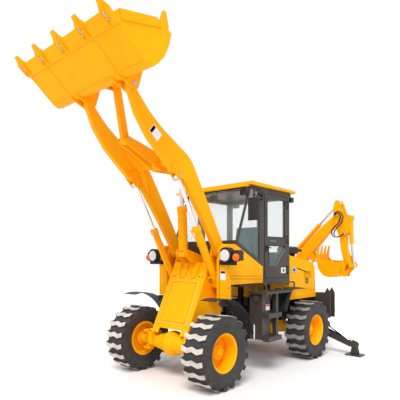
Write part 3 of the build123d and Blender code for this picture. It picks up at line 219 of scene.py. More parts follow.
FINISH = {
    "yellow_paint": YELLOW, "dark_paint": DARK, "black_paint": BLACK, "tyre_rubber": SIDEWALL,
    "rod_chrome": CHROME, "cab_glass": GLASS, "lamp_lens": LENS, "black_plastic": PLASTIC,
    "seat_cloth": CLOTH, "engine_iron": IRON,
}
NODE_FINISH = {"chassis_frame": BLACK, "engine_block": BLACK, "cab_roof": YELLOW, "loader_tower": YELLOW}


def dress_nodes():
    """Gives every CAD node the finish of its slot in the record."""
    for sub in frame["record"]["subparts"]:
        mesh = NODES[sub["node"]].data
        mesh.materials.clear()
        mesh.materials.append(NODE_FINISH.get(sub["node"], FINISH[sub["material_slot"]]))


dress_nodes()


# ---------------------------------------------------------------- shapes

class Shape:
    """Collects solids in one mesh, each with its own material."""

    def __init__(self):
        self.bm = bmesh.new()
        self.materials = []

    def _index(self, mat):
        if mat not in self.materials:
            self.materials.append(mat)
        return self.materials.index(mat)

    def _skin(self, rings, mat, closed=True, caps=True, smooth=True):
        """Joins rings of points into a skin."""
        index = self._index(mat)
        rows = [[self.bm.verts.new(p) for p in ring] for ring in rings]
        for first, second in zip(rows, rows[1:]):
            count = len(first)
            for i in range(count if closed else count - 1):
                j = (i + 1) % count
                face = self.bm.faces.new((first[i], first[j], second[j], second[i]))
                face.material_index, face.smooth = index, smooth
        if caps:
            for row in (rows[0][::-1], rows[-1]):
                face = self.bm.faces.new(row)
                face.material_index = index

    def prism(self, mat, outline, low, high, axis="y", smooth=False):
        """A flat plate: outline points (a, b) and its two faces along the axis."""
        def place(a, b, c):
            return {"y": (a, c, b), "x": (c, a, b), "z": (a, b, c)}[axis]
        self._skin([[place(a, b, c) for a, b in outline] for c in (low, high)], mat, smooth=smooth)

    def box(self, mat, low, high):
        (x0, y0, z0), (x1, y1, z1) = low, high
        self.prism(mat, [(x0, z0), (x1, z0), (x1, z1), (x0, z1)], y0, y1)

    def turned(self, mat, start, axis, profile, count=32, smooth=True, caps=True):
        """A turned solid: profile of (along the axis, radius) from one end to the other."""
        axis = Vector(axis).normalized()
        side = axis.orthogonal().normalized()
        up = axis.cross(side)
        rings = []
        for along, radius in profile:
            centre = Vector(start) + axis * along
            rings.append([
                centre + (side * math.cos(a) + up * math.sin(a)) * radius
                for a in (2 * math.pi * i / count for i in range(count))
            ])
        self._skin(rings, mat, caps=caps, smooth=smooth)

    def sleeve(self, mat, start, axis, profile, bore, count=32):
        """A turned ring around a hole of radius bore, so that a rod can slide through."""
        ring = [(profile[0][0], bore), *profile, (profile[-1][0], bore), (profile[0][0], bore)]
        self.turned(mat, start, axis, ring, count, caps=False)

    def rod(self, mat, start, end, radius, count=24, chamfer=0.0):
        span = Vector(end) - Vector(start)
        length = span.length
        profile = [(0, radius), (length, radius)]
        if chamfer:
            profile = [(0, radius - chamfer), (chamfer, radius), (length - chamfer, radius),
                       (length, radius - chamfer)]
        self.turned(mat, start, span, profile, count)

    def bolt(self, mat, place, axis, size=0.012):
        """A hexagon head on a washer."""
        self.turned(mat, place, axis, [(0, size * 1.25), (size * 0.25, size * 1.25)], 16)
        top = Vector(place) + Vector(axis).normalized() * size * 0.25
        self.turned(mat, top, axis, [(0, size), (size * 0.8, size), (size, size * 0.85)], 6, False)

    def tube(self, mat, points, radius, count=12, steps=8, smooth_path=True):
        """A round tube along points, rounded where it turns."""
        path = curve_points(points, steps) if smooth_path else [Vector(p) for p in points]
        tangent = (path[1] - path[0]).normalized()
        side = tangent.orthogonal().normalized()
        rings = []
        for i, p in enumerate(path):
            after, before = path[min(i + 1, len(path) - 1)], path[max(i - 1, 0)]
            tangent = (after - before).normalized()
            side = (side - tangent * side.dot(tangent)).normalized()
            up = tangent.cross(side)
            rings.append([
                p + (side * math.cos(a) + up * math.sin(a)) * radius
                for a in (2 * math.pi * k / count for k in range(count))
            ])
        self._skin(rings, mat)

    def done(self, name, body, bevel=0.0, segments=2, angle=40):
        """Makes the object and lets it ride on its body."""
        bmesh.ops.recalc_face_normals(self.bm, faces=self.bm.faces)
        mesh = bpy.data.meshes.new(name)
        self.bm.to_mesh(mesh)
        self.bm.free()
        for mat in self.materials:
            mesh.materials.append(mat)
        mesh.set_sharp_from_angle(angle=math.radians(angle))
        piece = bpy.data.objects.new(name, mesh)
        bpy.context.scene.collection.objects.link(piece)
        if bevel:
            mod = piece.modifiers.new("edges", "BEVEL")
            mod.width, mod.segments, mod.limit_method = bevel, segments, "ANGLE"
            mod.angle_limit = math.radians(angle)
            mod.harden_normals = True
        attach(piece, body)
        return piece


def curve_points(points, steps):
    """A smooth line through the points."""
    pts = [Vector(p) for p in points]
    pts = [pts[0] * 2 - pts[1]] + pts + [pts[-1] * 2 - pts[-2]]
    line = []
    for a, b, c, d in zip(pts, pts[1:], pts[2:], pts[3:]):
        for k in range(steps):
            t = k / steps
            line.append(0.5 * ((2 * b) + (c - a) * t + (2 * a - 5 * b + 4 * c - d) * t * t
                               + (3 * b - a - 3 * c + d) * t ** 3))
    return line + [pts[-2]]


def side_place(x, z, y=0.0):
    """A side-view place in space."""
    return Vector((AXLE_X + x, y, z))


def shifted(points):
    """Side-view places counted from the front axle, moved into the machine's frame."""
    return [(x + AXLE_X, z) for x, z in points]


def bolt_ring(shape, mat, centre, axis, radius, count, size):
    axis = Vector(axis).normalized()
    side = axis.orthogonal().normalized()
    up = axis.cross(side)
    for i in range(count):
        a = 2 * math.pi * i / count
        shape.bolt(mat, Vector(centre) + (side * math.cos(a) + up * math.sin(a)) * radius, axis, size)


# ---------------------------------------------------------------- wheels

LUG_TOP, LUGS = 0.5347, 18
MIDDLE_FOOT, SHOULDER_FOOT = 0.478, 0.452  # radii at which a lug meets the tread and the shoulder


def circle(centre, y, radius, count):
    """A ring of points about the wheel's axle."""
    turns = (2 * math.pi * i / count for i in range(count))
    return [centre + Vector((math.cos(a) * radius, y, math.sin(a) * radius)) for a in turns]


def tyre_piece(name, centre, body, faces, replaced):
    """A tyre with rounded walls, rim guards and tapered zigzag lugs."""
    shape = Shape()
    half = [
        (0.157, 0.2585), (0.158, 0.2853), (0.168, 0.2855), (0.176, 0.292), (0.186, 0.302),
        (0.1905, 0.312), (0.1905, 0.325), (0.1955, 0.345), (0.2, 0.375), (0.2025, 0.41), (0.201, 0.44),
        (0.1975, 0.458), (0.189, 0.476), (0.176, 0.49), (0.16, 0.496), (0.08, 0.499),
    ]
    profile = [(y, r) for y, r in half] + [(-y, r) for y, r in reversed(half)]
    start = Vector(centre)
    shape._skin([circle(start, y, r, 90) for y, r in profile], SIDEWALL, caps=False)
    edge = [(-0.062, 0.1965), (-0.03, 0.095), (-0.058, 0.0), (-0.03, -0.095), (-0.062, -0.1965)]
    rear_edge = [(0.010, -0.1965), (0.046, -0.095), (0.016, 0.0), (0.046, 0.095), (0.010, 0.1965)]
    outline = edge + rear_edge
    side_index, top_index = shape._index(SIDEWALL), shape._index(faces)
    for n in range(LUGS):
        turn = Matrix.Rotation(2 * math.pi * n / LUGS, 3, "Y")

        def place(x, y, r, grow=0.0):
            x += grow * (1 if x > -0.01 else -1)
            high = math.sqrt(max(r * r - x * x, 0.0))
            return start + turn @ Vector((x, y, high))

        foot = [
            shape.bm.verts.new(place(x, y, MIDDLE_FOOT if abs(y) < 0.15 else SHOULDER_FOOT, 0.009))
            for x, y in outline
        ]
        neck = [shape.bm.verts.new(place(x, y, LUG_TOP - 0.006)) for x, y in outline]
        middle_x = sum(x for x, y in outline) / 10
        top = [
            shape.bm.verts.new(place(middle_x + (x - middle_x) * 0.88, y * 0.975, LUG_TOP))
            for x, y in outline
        ]
        for low, high, index in ((foot, neck, side_index), (neck, top, top_index)):
            for i in range(10):
                j = (i + 1) % 10
                face = shape.bm.faces.new((low[i], low[j], high[j], high[i]))
                face.material_index, face.smooth = index, False
        for i in range(4):
            quad = (top[i], top[i + 1], top[8 - i], top[9 - i])
            face = shape.bm.faces.new(quad)
            face.material_index = top_index
    piece = shape.done(name, body, angle=35)
    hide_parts(replaced)
    return piece


def rim_piece(name, centre, side, body, replaced):
    """Dished rim with stepped gutter, lock ring, studs, hub cover and valve; side is 1 or -1."""
    shape = Shape()
    s = side
    profile = [
        (-0.157, 0.258), (-0.157, 0.285), (-0.17, 0.285), (-0.17, 0.244), (-0.08, 0.23), (-0.062, 0.226),
        (-0.07, 0.2), (-0.078, 0.165), (-0.078, 0.0),
    ]
    outer = [
        (0.052, 0.0), (0.05, 0.105), (0.042, 0.11), (-0.045, 0.122), (-0.05, 0.14), (-0.057, 0.162),
        (-0.055, 0.2),
        (-0.04, 0.226), (0.04, 0.229), (0.052, 0.232), (0.055, 0.24), (0.12, 0.2435), (0.128, 0.248),
        (0.15, 0.25), (0.157, 0.256), (0.166, 0.27), (0.17, 0.279), (0.168, 0.285), (0.159, 0.286),
        (0.157, 0.258),
    ]
    centre = Vector(centre)
    rings = [circle(centre, s * y, max(r, 0.001), 72) for y, r in outer + profile]
    shape._skin(rings, YELLOW, caps=False)
    axis = (0, s, 0)
    bolt_ring(shape, YELLOW, centre + Vector((0, -0.054 * s, 0)), axis, 0.145, 10, 0.014)
    bolt_ring(shape, YELLOW, centre + Vector((0, 0.05 * s, 0)), axis, 0.085, 12, 0.009)
    shape.turned(YELLOW, centre + Vector((0, 0.05 * s, 0)), axis,
                 [(0, 0.06), (0.018, 0.058), (0.028, 0.045), (0.03, 0.001)], 32)
    shape.rod(PLASTIC, centre + Vector((0.2, 0.0, 0.09)), centre + Vector((0.2, 0.05 * s, 0.09)), 0.006, 10)
    piece = shape.done(name, body, angle=35)
    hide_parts(replaced)
    return piece


def wheels():
    for end in ("front", "rear"):
        for word, side in (("left", 1), ("right", -1)):
            low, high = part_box(f"tyre_{end}_{word}")
            centre = (low + high) / 2
            centre.z = LUG_TOP
            body = f"wheel_{end}_{word}"
            faces = LUGS_FRONT if end == "front" else LUGS_REAR
            tyre_piece(f"tyre_tread_{end}_{word}", centre, body, faces, f"tyre_{end}_{word}")
            rim_piece(f"rim_disc_{end}_{word}", centre, side, body, f"rim_{end}_{word}")


wheels()


# ---------------------------------------------------------------- loader bucket

BUCKET_PIVOT, ROLL = (1.250, 4.100), math.radians(40)
BUCKET_HALF = 1.02


def bucket_place(u, w):
    """Side-view place of a point in the bucket's own frame: u along the floor, w up from it."""
    return (BUCKET_PIVOT[0] + u * math.cos(ROLL) - w * math.sin(ROLL),
            BUCKET_PIVOT[1] + u * math.sin(ROLL) + w * math.cos(ROLL))


def bucket_outline(points):
    return shifted([bucket_place(u, w) for u, w in points])


def in_bucket(u, w, y):
    x, z = bucket_place(u, w)
    return Vector((AXLE_X + x, y, z))


def bucket_details():
    """Tooth shanks, bolts, welds, seams and pin keepers on the loader bucket."""
    shape = Shape()
    under = (math.sin(ROLL), 0, -math.cos(ROLL))
    for i in range(5):
        y = (i - 2) * (BUCKET_HALF - 0.06) / 2
        for dy in (-0.049, 0.049):
            plate = [
                (0.70, -0.138), (0.73, -0.105), (0.88, -0.1), (0.945, -0.135), (0.885, -0.175),
                (0.74, -0.168),
            ]
            shape.prism(YELLOW, bucket_outline(plate), y + dy - 0.01, y + dy + 0.01)
        for u in (0.79, 0.85):
            shape.bolt(STEEL, in_bucket(u, -0.166 - 0.06 * (u - 0.79), y), under, 0.014)
    for y in (-0.54, 0.54):
        bead = [in_bucket(0.16, -0.118, y), in_bucket(0.235, -0.1215, y), in_bucket(0.69, -0.1215, y)]
        shape.tube(YELLOW, bead, 0.006, 8, 4, False)
    for u, w, inset in ((0.235, -0.121, 0.02), (0.70, -0.1395, 0.01)):
        seam = [in_bucket(u, w, -BUCKET_HALF + inset), in_bucket(u, w, BUCKET_HALF - inset)]
        shape.tube(YELLOW, seam, 0.005, 8, 2, False)
    for side in (-1, 1):
        for ear in (0.3995, 0.5405):
            centre = side_place(*BUCKET_PIVOT, side * ear)
            half = Vector((0, 0.017, 0))
            shape.rod(YELLOW, centre - half, centre + half, 0.052, 32, 0.003)
        centre = side_place(*BUCKET_PIVOT, side * 0.5535)
        shape.rod(STEEL, centre, centre + Vector((0, side * 0.012, 0)), 0.03, 24, 0.003)
        shape.bolt(STEEL, centre + Vector((0.045, 0, -0.02)), (0, side, 0), 0.01)
    shape.done("bucket_trim", "loader_bucket", 0.0025)


# ---------------------------------------------------------------- loader arms

ARM_PIVOT, LIFT_BASE, LIFT_EYE = (-0.56, 1.98), (-0.5, 1.46), (0.39, 3.05)
CRANK_PIVOT, CRANK_FRONT, CRANK_REAR = (0.33, 3.31), (0.97, 3.53), (-0.16, 3.27)
TILT_BASE = (-0.223, 1.952)
ARM_Y = 0.47


def label(name, body, corner, right, up, width, height, band=0.0):
    """A blank label: a white field, and a red band at its top."""
    shape = Shape()
    right, up = Vector(right).normalized(), Vector(up).normalized()
    out = right.cross(up)

    def field(mat, a0, a1, b0, b1, low, high):
        corners = [Vector(corner) + right * a + up * b for a, b in ((a0, b0), (a1, b0), (a1, b1), (a0, b1))]
        layers = [[c + out * lift for c in corners] for lift in (low, high)]
        shape._skin(layers, mat, smooth=False)

    field(LABEL, 0, width, 0, height, 0.0, 0.0008)
    if band:
        field(RED, width * 0.07, width * 0.93, height * (1 - band), height * 0.95, 0.0008, 0.0012)
    shape.done(name, body)


def arm_details():
    """Tube bosses with their gussets, pin keepers and weld beads."""
    shape = Shape()
    cx, cz = CRANK_PIVOT
    for side in (-1, 1):
        inner = side * 0.43
        base = [(0.70, 3.56), (0.405, 3.255), (0.12, 2.86), (0.255, 3.355)]
        rings = []
        for shrink, lift in ((1.0, 0.0), (0.93, 0.012), (0.30, 0.085)):
            rings.append([side_place(cx + (x - cx) * shrink, cz + (z - cz) * shrink, inner - side * lift)
                          for x, z in base])
        shape._skin(rings, YELLOW, smooth=False)
        centre = side_place(cx, cz, inner)
        boss = [(0, 0.1), (0.06, 0.1), (0.09, 0.0745), (0.1, 0.0705)]
        shape.turned(YELLOW, centre, (0, -side, 0), boss, 40)
        for y in (0.413, 0.527):
            centre = side_place(*LIFT_EYE, side * y)
            half = Vector((0, 0.005, 0))
            shape.rod(YELLOW, centre - half, centre + half, 0.042, 28, 0.002)
        pin = side_place(*LIFT_EYE, side * 0.532)
        shape.rod(STEEL, pin, pin + Vector((0, side * 0.008, 0)), 0.024, 20, 0.002)
        shape.box(YELLOW, pin + Vector((-0.012, -0.003, 0.02)), pin + Vector((0.012, 0.005, 0.07)))
        shape.bolt(STEEL, pin + Vector((0, side * 0.005, 0.055)), (0, side, 0), 0.008)
    shape.done("arm_trim", "loader_arms", 0.0015)
    label("arm_label", "loader_arms", side_place(0.82, 3.457, 0.51), (-0.64, 0, 0.77), (0.79, 0, 0.615),
          0.137, 0.19, 0.28)


def cylinder_details(name, body, base, tip, radius, rod_radius, length, gland, place, port_side):
    """Gland, weld ring, clamps and the steel pipe along a barrel."""
    shape = Shape()
    start, end = Vector(place(base)), Vector(place(tip))
    along = (end - start).normalized()
    head = start + along * length
    shape.sleeve(YELLOW, head - along * 0.085, along,
                 [(0, radius + 0.001), (0.004, radius + gland), (0.07, radius + gland),
                  (0.076, radius + gland - 0.004), (0.0765, rod_radius + 0.012),
                  (0.086, rod_radius + 0.010)], rod_radius + 0.0008, 40)
    foot = start + along * 0.1
    shape.sleeve(YELLOW, foot, along, [(0, radius + 0.0005), (0.004, radius + 0.004), (0.012, radius + 0.004),
                                       (0.016, radius + 0.0005)], radius - 0.001)
    out = Vector(port_side).normalized()
    out = (out - along * out.dot(along)).normalized()
    for place_along in (length - 0.045, 0.16):
        port = start + along * place_along + out * radius
        shape.rod(YELLOW, port - out * 0.005, port + out * 0.03, 0.018, 16, 0.002)
        shape.turned(STEEL, port + out * 0.03, out, [(0, 0.014), (0.014, 0.014)], 6, False)
    run = out * (radius + 0.034)
    pipe = [head - along * 0.045 + run, head - along * 0.12 + run * 0.95, head - along * 0.2 + run * 0.72,
            start + along * 0.42 + run * 0.72, start + along * 0.3 + run * 0.85]
    shape.tube(YELLOW, pipe, 0.009, 10, 6)
    for share in (0.35, 0.7):
        middle = start + along * (length * share)
        shape.sleeve(YELLOW, middle, along, [(0, radius + 0.003), (0.02, radius + 0.003)], radius - 0.001)
        clip = middle + along * 0.01
        shape.rod(YELLOW, clip + out * radius, clip + run * 0.9, 0.012, 10)
    shape.done(name, body)


def on_middle(p):
    return side_place(p[0], p[1], 0.0)


def loader_cylinders():
    for word, side in (("left", 1), ("right", -1)):
        def on_arm(p, s=side):
            return side_place(p[0], p[1], s * ARM_Y)
        cylinder_details(
            f"lift_fittings_{word}", "lift_barrels", LIFT_BASE, LIFT_EYE, 0.055, 0.03, 1.025, 0.011, on_arm,
            (0.8, -side * 0.6, -0.3))
    cylinder_details(
        "tilt_fittings", "tilt_barrel", TILT_BASE, CRANK_REAR, 0.074, 0.032, 0.754, 0.008, on_middle,
        (0.2, 1.0, 0.0))


def crank_details():
    """Caps and pin ends at the bell crank's two far eyes."""
    shape = Shape()
    for side in (-1, 1):
        for place, radius in ((CRANK_FRONT, 0.045), (CRANK_REAR, 0.045)):
            centre = side_place(*place, side * 0.0945)
            cap, pin = centre + Vector((0, side * 0.01, 0)), centre + Vector((0, side * 0.016, 0))
            shape.rod(YELLOW, centre, cap, radius, 28, 0.002)
            shape.rod(STEEL, cap, pin, 0.024, 20, 0.002)
    shape.done("crank_trim", "bellcrank", 0.001)


bucket_details()
arm_details()
loader_cylinders()
crank_details()


# ---------------------------------------------------------------- tower

COVER_TOP, COVER_FOOT = (-0.42, 1.81), (0.117, 0.697)


def on_cover(v, y, lift=0.0):
    """A place on the sloping front cover: v down from its top edge, lift off its face."""
    top, foot = side_place(*COVER_TOP), side_place(*COVER_FOOT)
    down = (foot - top).normalized()
    out = Vector((0, 1, 0)).cross(down)
    out = out if out.x > 0 else -out
    return top + down * v + Vector((0, y, 0)) + out * lift


def frame_strip(shape, mat, outline, width, height, slope):
    """A raised frame that follows a closed outline of (v, y) on the cover."""
    cv = sum(v for v, y in outline) / len(outline)
    cy = sum(y for v, y in outline) / len(outline)

    def grown(amount, lift):
        ring = []
        for v, y in outline:
            moved_v, moved_y = math.copysign(amount, v - cv), math.copysign(amount, y - cy)
            ring.append(on_cover(v + moved_v, y + moved_y, lift))
        return ring
    rings = [grown(width + slope, 0.0005), grown(width, height), grown(0.0, height), grown(-slope, 0.002)]
    shape._skin(rings, mat, caps=False, smooth=False)


def tower_details():
    """Raised border, screws and lugs of the cover, and the pins and keepers of the arms' feet."""
    shape = Shape()
    border = [(0.352, -0.283), (0.352, 0.283), (1.048, 0.283), (1.048, -0.283)]
    frame_strip(shape, COVER, border, 0.012, 0.009, 0.008)
    for v, y in ((0.712, 0.335), (1.08, 0.335), (0.712, -0.335), (1.08, -0.335)):
        out = on_cover(v, y, 1.0) - on_cover(v, y, 0.0)
        shape.bolt(STEEL, on_cover(v, y, 0.001), out, 0.009)
    for v, y in ((0.255, 0.262), (0.255, 0.325), (0.255, -0.262), (0.255, -0.325)):
        out = on_cover(v, y, 1.0) - on_cover(v, y, 0.0)
        shape.rod(BLACK, on_cover(v, y, -0.002), on_cover(v, y, 0.002), 0.013, 16)
    for side in (-1, 1):
        corners = [(v, side * y) for v, y in ((1.19, 0.375), (1.19, 0.43), (1.218, 0.43), (1.218, 0.375))]
        layers = [[on_cover(v, y, lift) for v, y in corners] for lift in (-0.01, 0.004)]
        shape._skin(layers, COVER, smooth=False)
    for side in (-1, 1):
        for place, radius in ((ARM_PIVOT, 0.045), (LIFT_BASE, 0.038)):
            centre = side_place(*place, side * 0.612)
            shape.rod(STEEL, centre, centre + Vector((0, side * 0.006, 0)), radius * 0.66, 24, 0.002)
            low, high = Vector((-0.014, -0.012, 0.026)), Vector((0.014, 0.004, 0.085))
            shape.box(YELLOW, centre + low, centre + high)
            shape.bolt(STEEL, centre + Vector((0, side * 0.004, 0.065)), (0, side, 0), 0.009)
        centre = side_place(*ARM_PIVOT, side * 0.6)
        flange = [(0, 0.112), (0.01, 0.110), (0.012, 0.07), (0.0121, 0.034)]
        shape.turned(YELLOW, centre, (0, side, 0), flange, 40)
        post = [side_place(-0.385, z, side * 0.602) for z in (1.25, 1.6, 1.85)]
        shape.tube(YELLOW, post, 0.004, 6, 3, False)
    shape.done("tower_trim", "chassis", 0.0015)


HEADLAMP_Y, HEADLAMP_Z, SIGNAL_Y, SIGNAL_Z = 0.8, 1.92, 0.965, 1.89


def lamp(word, side):
    """Headlamp with its bowl, reflector and lens, turn signal, black housing and bracket."""
    centre = side_place(-0.33, HEADLAMP_Z, side * HEADLAMP_Y)
    shape = Shape()
    ahead = Vector((1, 0, 0))
    shape.turned(PLASTIC, centre - ahead * 0.05, ahead,
                 [(0, 0.05), (0.0, 0.093), (0.045, 0.1), (0.085, 0.103), (0.1, 0.102), (0.105, 0.097),
                  (0.106, 0.09), (0.098, 0.088), (0.096, 0.001)], 48)
    shape.turned(CHROME, centre + ahead * 0.05, ahead,
                 [(0, 0.0885), (0.009, 0.0885), (0.011, 0.084), (0.006, 0.081)], 48)
    shape.turned(CHROME, centre + ahead * 0.049, ahead,
                 [(0.0005, 0.081), (-0.02, 0.062), (-0.032, 0.035), (-0.035, 0.001)], 40)
    shape.turned(STEEL, centre + ahead * 0.015, ahead, [(0, 0.018), (0.022, 0.016), (0.026, 0.001)], 20)
    signal = side_place(-0.365, SIGNAL_Z, side * SIGNAL_Y)
    shape.turned(PLASTIC, signal - ahead * 0.05, ahead,
                 [(0, 0.05), (0.01, 0.06), (0.07, 0.064), (0.076, 0.06), (0.077, 0.001)], 36)
    back = [(-0.475, 1.84), (-0.475, 1.97), (-0.43, 2.0), (-0.345, 1.985), (-0.34, 1.85)]
    shape.prism(PLASTIC, shifted(back), side * 0.745, side * 1.005)
    brow = []
    for k in range(9):
        a = math.radians(35 + 14 * k)
        brow.append((side * HEADLAMP_Y + side * math.cos(a) * 0.108, HEADLAMP_Z + math.sin(a) * 0.108))
    outer = brow + [(y, z + 0.012) for y, z in reversed(brow)]
    shape.prism(PLASTIC, outer, AXLE_X - 0.40, AXLE_X - 0.272, axis="x")
    arm = [(-0.384, 1.77), (-0.384, 1.84), (-0.35, 1.845), (-0.345, 1.775)]
    shape.prism(BLACK, shifted(arm), side * 0.64, side * 0.95)
    piece = shape.done(f"lamp_{word}", "chassis", 0.004, 3)
    glass = Shape()
    glass.turned(LENS, centre + ahead * 0.054, ahead,
                 [(0, 0.0835), (0.006, 0.078), (0.013, 0.05), (0.016, 0.001)], 40)
    glass.done(f"lamp_lens_{word}", "chassis")
    amber = Shape()
    amber.turned(AMBER, signal + ahead * 0.026, ahead,
                 [(0, 0.057), (0.02, 0.056), (0.035, 0.045), (0.042, 0.025), (0.044, 0.001)], 36)
    amber.done(f"turn_lens_{word}", "chassis")
    return piece


def lamps():
    pieces = [lamp("left", 1), lamp("right", -1)]
    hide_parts("headlamps")


tower_details()
lamps()


# ---------------------------------------------------------------- cab, hood and deck

CAB_Y, COWL_Y, TANK_Y, GUARD_RADIUS = 0.7, 0.742, 0.945, 0.765
TOP_PANE = [(-2.16, 2.25), (-1.586, 2.25), (-1.586, 2.92), (-2.16, 2.92)]
LOW_PANE = [
    (-1.63, 2.098), (-1.63, 1.722), (-1.826, 1.722), (-2.044, 1.935), (-2.171, 2.045), (-2.171, 2.098),
]
QUARTER = [(-0.748, 2.14), (-1.1, 3.03), (-1.35, 3.03), (-1.35, 1.845)]


def patch(shape, mat, y, outline, thick=0.003):
    """A thin plate on a side face; y is signed and the plate grows outwards."""
    shape.prism(mat, shifted(outline), y, y + math.copysign(thick, y))


def rectangle(x0, x1, z0, z1):
    return [(x0, z0), (x1, z0), (x1, z1), (x0, z1)]


def seal(shape, outline, y, radius=0.009):
    """A rubber lip around a pane."""
    shape.tube(PLASTIC, [side_place(x, z, y) for x, z in outline + outline[:1]], radius, 8, 1, False)


def door_trim():
    """Window lips, latch plate, handle, grey strip and the seal along the door's front edge."""
    shape = Shape()
    y = CAB_Y + 0.001
    hub_z, grip = 2.07, y + 0.03
    seal(shape, TOP_PANE, y)
    seal(shape, LOW_PANE, y)
    shape.tube(GREY, [side_place(x, z, y + 0.006) for x, z in LOW_PANE[2:5]], 0.01, 8, 1, False)
    patch(shape, LABEL, y, rectangle(-2.195, -2.04, 1.606, 1.707), 0.006)
    patch(shape, BLACK, y + 0.005, rectangle(-2.14, -2.095, 1.63, 1.683), 0.006)
    patch(shape, GREY, y, rectangle(-1.874, -1.69, 2.168, 2.192), 0.003)
    patch(shape, PLASTIC, y, rectangle(-1.6, -1.53, 1.98, 2.1), 0.012)
    shape.rod(BLACK, side_place(-1.545, hub_z, grip), side_place(-1.66, 2.055, grip), 0.011, 12, 0.003)
    shape.rod(BLACK, side_place(-1.552, hub_z, y), side_place(-1.552, hub_z, y + 0.032), 0.012, 12)
    shape.tube(PLASTIC, [side_place(-1.512, z, y) for z in (1.55, 2.2, 2.97)], 0.007, 8, 2, False)
    shape.done("door_trim", "door", 0.0015)


def hood_trim():
    """Latch, slit, vent, rubber stops and a painted shade line along the crease of the engine hood, on both
    sides.
    """
    shape = Shape()
    for side in (-1, 1):
        y = side * CAB_Y
        patch(shape, STEEL, y, rectangle(-2.61, -2.41, 1.61, 1.7), 0.006)
        patch(shape, BLACK, y + side * 0.005, rectangle(-2.54, -2.47, 1.635, 1.675), 0.004)
        patch(shape, BLACK, y, [(-3.08, 1.584), (-2.625, 1.676), (-2.625, 1.7), (-3.08, 1.602)], 0.002)
        for step in range(4):
            z = 1.385 + step * 0.03
            patch(shape, BLACK, y, rectangle(-3.08, -2.94, z, z + 0.02), 0.002)
        for x in (-2.87, -2.932, -3.02, -3.146):
            shape.rod(BLACK, side_place(x, 1.284, y), side_place(x, 1.284, y + side * 0.004), 0.011, 14)
        # Painted shade: a thin dark orange tube along the hood's crease.
        shape.tube(CREASE_SHADE, [side_place(x, 1.25, y) for x in (-3.38, -2.9, -2.36)], 0.003, 6, 2, False)
    shape.done("hood_trim", "chassis", 0.001)


def cowl_trim():
    """Painted shade lines along the cowls' creases, the cowls' screws, the quarter panes' lips and the post's
    blank label.
    """
    shape = Shape()
    for side in (-1, 1):
        y = side * COWL_Y
        for x0, z0, x1, z1 in ((-0.475, 1.604, -1.354, 1.578), (-0.475, 1.559, -1.354, 1.529)):
            # Painted shade: two thin dark orange tubes along each cowl's creases.
            shape.tube(CREASE_SHADE, [side_place(x0, z0, y), side_place(x1, z1, y)], 0.0035, 6, 2, False)
        for x, z in ((-0.44, 1.75), (-0.44, 1.42), (-1.33, 1.45), (-0.9, 1.32)):
            shape.bolt(BLACK, side_place(x, z, y), (0, side, 0), 0.007)
        seal(shape, QUARTER, side * 0.684, 0.008)
    shape.done("cowl_trim", "chassis")
    label("post_label", "chassis", side_place(-0.3845, 1.545, 0.628), (0, 1, 0), (0, 0, 1),
          0.105, 0.14, 0.3)


def tank_trim():
    """Filler cap, sight tube with its clips and the blank label of the left tank."""
    shape = Shape()
    face = side_place(-1.06, 1.229, 0.822)
    ahead = Vector((1, 0, 0))
    shape.turned(STEEL, face - ahead * 0.002, ahead, [(0, 0.04), (0.012, 0.04), (0.014, 0.03), (0.03, 0.028),
                                                      (0.034, 0.024)], 28)
    shape.rod(LABEL, side_place(-1.048, 0.57, 0.8), side_place(-1.048, 0.8, 0.8), 0.012, 14, 0.003)
    for z in (0.59, 0.78):
        shape.box(BLACK, side_place(-1.062, z, 0.784), side_place(-1.044, z + 0.014, 0.816))
    shape.done("tank_trim", "chassis", 0.001)
    label("tank_label", "chassis", side_place(-1.165, 1.03, TANK_Y + 0.0005), (-1, 0, 0), (0, 0, 1),
          0.11, 0.095, 0.35)


def fender_trim():
    """Bolts across the front mudguards."""
    shape = Shape()
    for side in (-1, 1):
        for degrees in (128, 141):
            a = math.radians(degrees)
            out = Vector((math.cos(a), 0, math.sin(a)))
            for y in (0.7, 0.81):
                shape.bolt(STEEL, side_place(0, LUG_TOP, side * y) + out * GUARD_RADIUS, out, 0.009)
    shape.done("fender_trim", "chassis")


def cab_inside():
    """The mirror that is seen through the panes, and the seat's rounded edges."""
    shape = Shape()
    shape.box(PLASTIC, side_place(-1.14, 2.87, -0.2), side_place(-1.115, 3.0, -0.03))
    shape.box(CHROME, side_place(-1.143, 2.88, -0.19), side_place(-1.14, 2.99, -0.04))
    shape.rod(PLASTIC, side_place(-1.12, 2.98, -0.115), side_place(-1.1, 3.02, -0.115), 0.008, 10)
    shape.done("cab_mirror", "chassis", 0.004)
    seat = NODES["operator_seat"].modifiers.new("edges", "BEVEL")
    seat.width, seat.segments, seat.limit_method = 0.03, 4, "ANGLE"


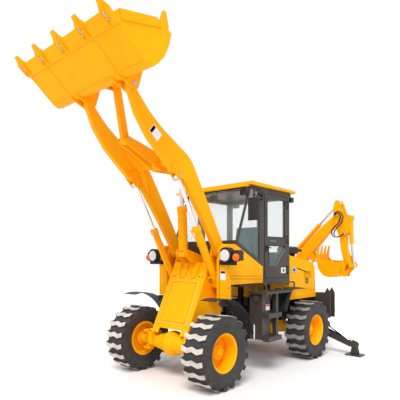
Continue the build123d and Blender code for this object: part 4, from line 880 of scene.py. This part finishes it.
def hoe_hoses():
    """Two stiff hose loops at the boom's end, in front of it and the dipper, with their fittings."""
    shape = Shape()
    x, boom_face = -3.822, -3.905
    first = [(0.887, 2.774), (0.964, 2.811), (1.026, 2.742), (0.98, 2.61), (0.871, 2.496), (0.836, 2.418),
             (0.871, 2.344), (0.95, 2.319), (1.038, 2.343), (1.11, 2.4)]
    second = [(0.9, 2.8), (0.98, 2.845), (1.062, 2.79), (1.088, 2.698), (1.04, 2.584), (0.93, 2.46),
              (0.9, 2.397), (0.93, 2.352)]
    for path, lift in ((first, 0.0), (second, 0.026)):
        shape.tube(HOSE, [side_place(x + lift, z, y) for y, z in path], 0.0125, 10, 6)
        y, z = path[0]
        root, tip = side_place(boom_face, z - 0.004, y), side_place(x + lift + 0.012, z - 0.004, y)
        shape.rod(STEEL, root, tip, 0.015, 12)
        y, z = path[-1]
        end, before = side_place(x + lift, z, y), side_place(x + lift, path[-2][1], path[-2][0])
        along = (end - before).normalized()
        nut = [(0, 0.016), (0.045, 0.016), (0.046, 0.01), (0.06, 0.01)]
        shape.turned(STEEL, end - along * 0.02, along, nut, 12)
    shape.done("hoe_hoses", "hoe_boom")


hoe_hoses()
door_trim()
hood_trim()
cowl_trim()
tank_trim()
fender_trim()
cab_inside()


# ---------------------------------------------------------------- stage

def stage_and_camera():
    scene = bpy.context.scene
    scene.view_settings.view_transform = "Standard"
    mesh = bpy.data.meshes.new("floor")
    span = 60.0
    corners = [(-span, -span, 0), (span, -span, 0), (span, span, 0), (-span, span, 0)]
    mesh.from_pydata(corners, [], [(0, 1, 2, 3)])
    floor = bpy.data.objects.new("floor", mesh)
    floor.location.z = -0.002
    scene.collection.objects.link(floor)
    mat, tree, shader = new_material("studio_floor")
    shader.inputs["Base Color"].default_value = (0.9, 0.9, 0.9, 1)
    shader.inputs["Roughness"].default_value = 1.0
    shader.inputs["Specular IOR Level"].default_value = 0.0
    mesh.materials.append(mat)

    world = bpy.data.worlds.new("studio")
    world.use_nodes = True
    scene.world = world
    tree = world.node_tree
    back = tree.nodes["Background"]
    path = node(tree, "ShaderNodeLightPath")
    seen = math_node(tree, "MAXIMUM", path.outputs["Is Camera Ray"], path.outputs["Is Glossy Ray"])
    seen = math_node(tree, "MAXIMUM", seen, path.outputs["Is Transmission Ray"])
    level = math_node(tree, "ADD", 0.8, math_node(tree, "MULTIPLY", seen, 0.2))
    back.inputs["Color"].default_value = (1, 1, 1, 1)
    tree.links.new(level, back.inputs["Strength"])

    sun = bpy.data.objects.new("key_light", bpy.data.lights.new("key_light", "SUN"))
    sun.data.energy = 2.2
    sun.data.angle = math.radians(25)
    sun.rotation_euler = (math.radians(38), math.radians(8), math.radians(112))
    scene.collection.objects.link(sun)

    data = bpy.data.cameras.new("camera")
    data.sensor_width = 36.0
    data.lens = 38.24
    data.shift_x = 0.0391
    data.shift_y = 0.1458
    data.clip_end = 200.0
    camera = bpy.data.objects.new("camera", data)
    camera.location = (AXLE_X + 4.726, 4.742, 1.875)
    camera.rotation_euler = (math.radians(90), 0, math.radians(133.659))
    scene.collection.objects.link(camera)
    scene.camera = camera


stage_and_camera()
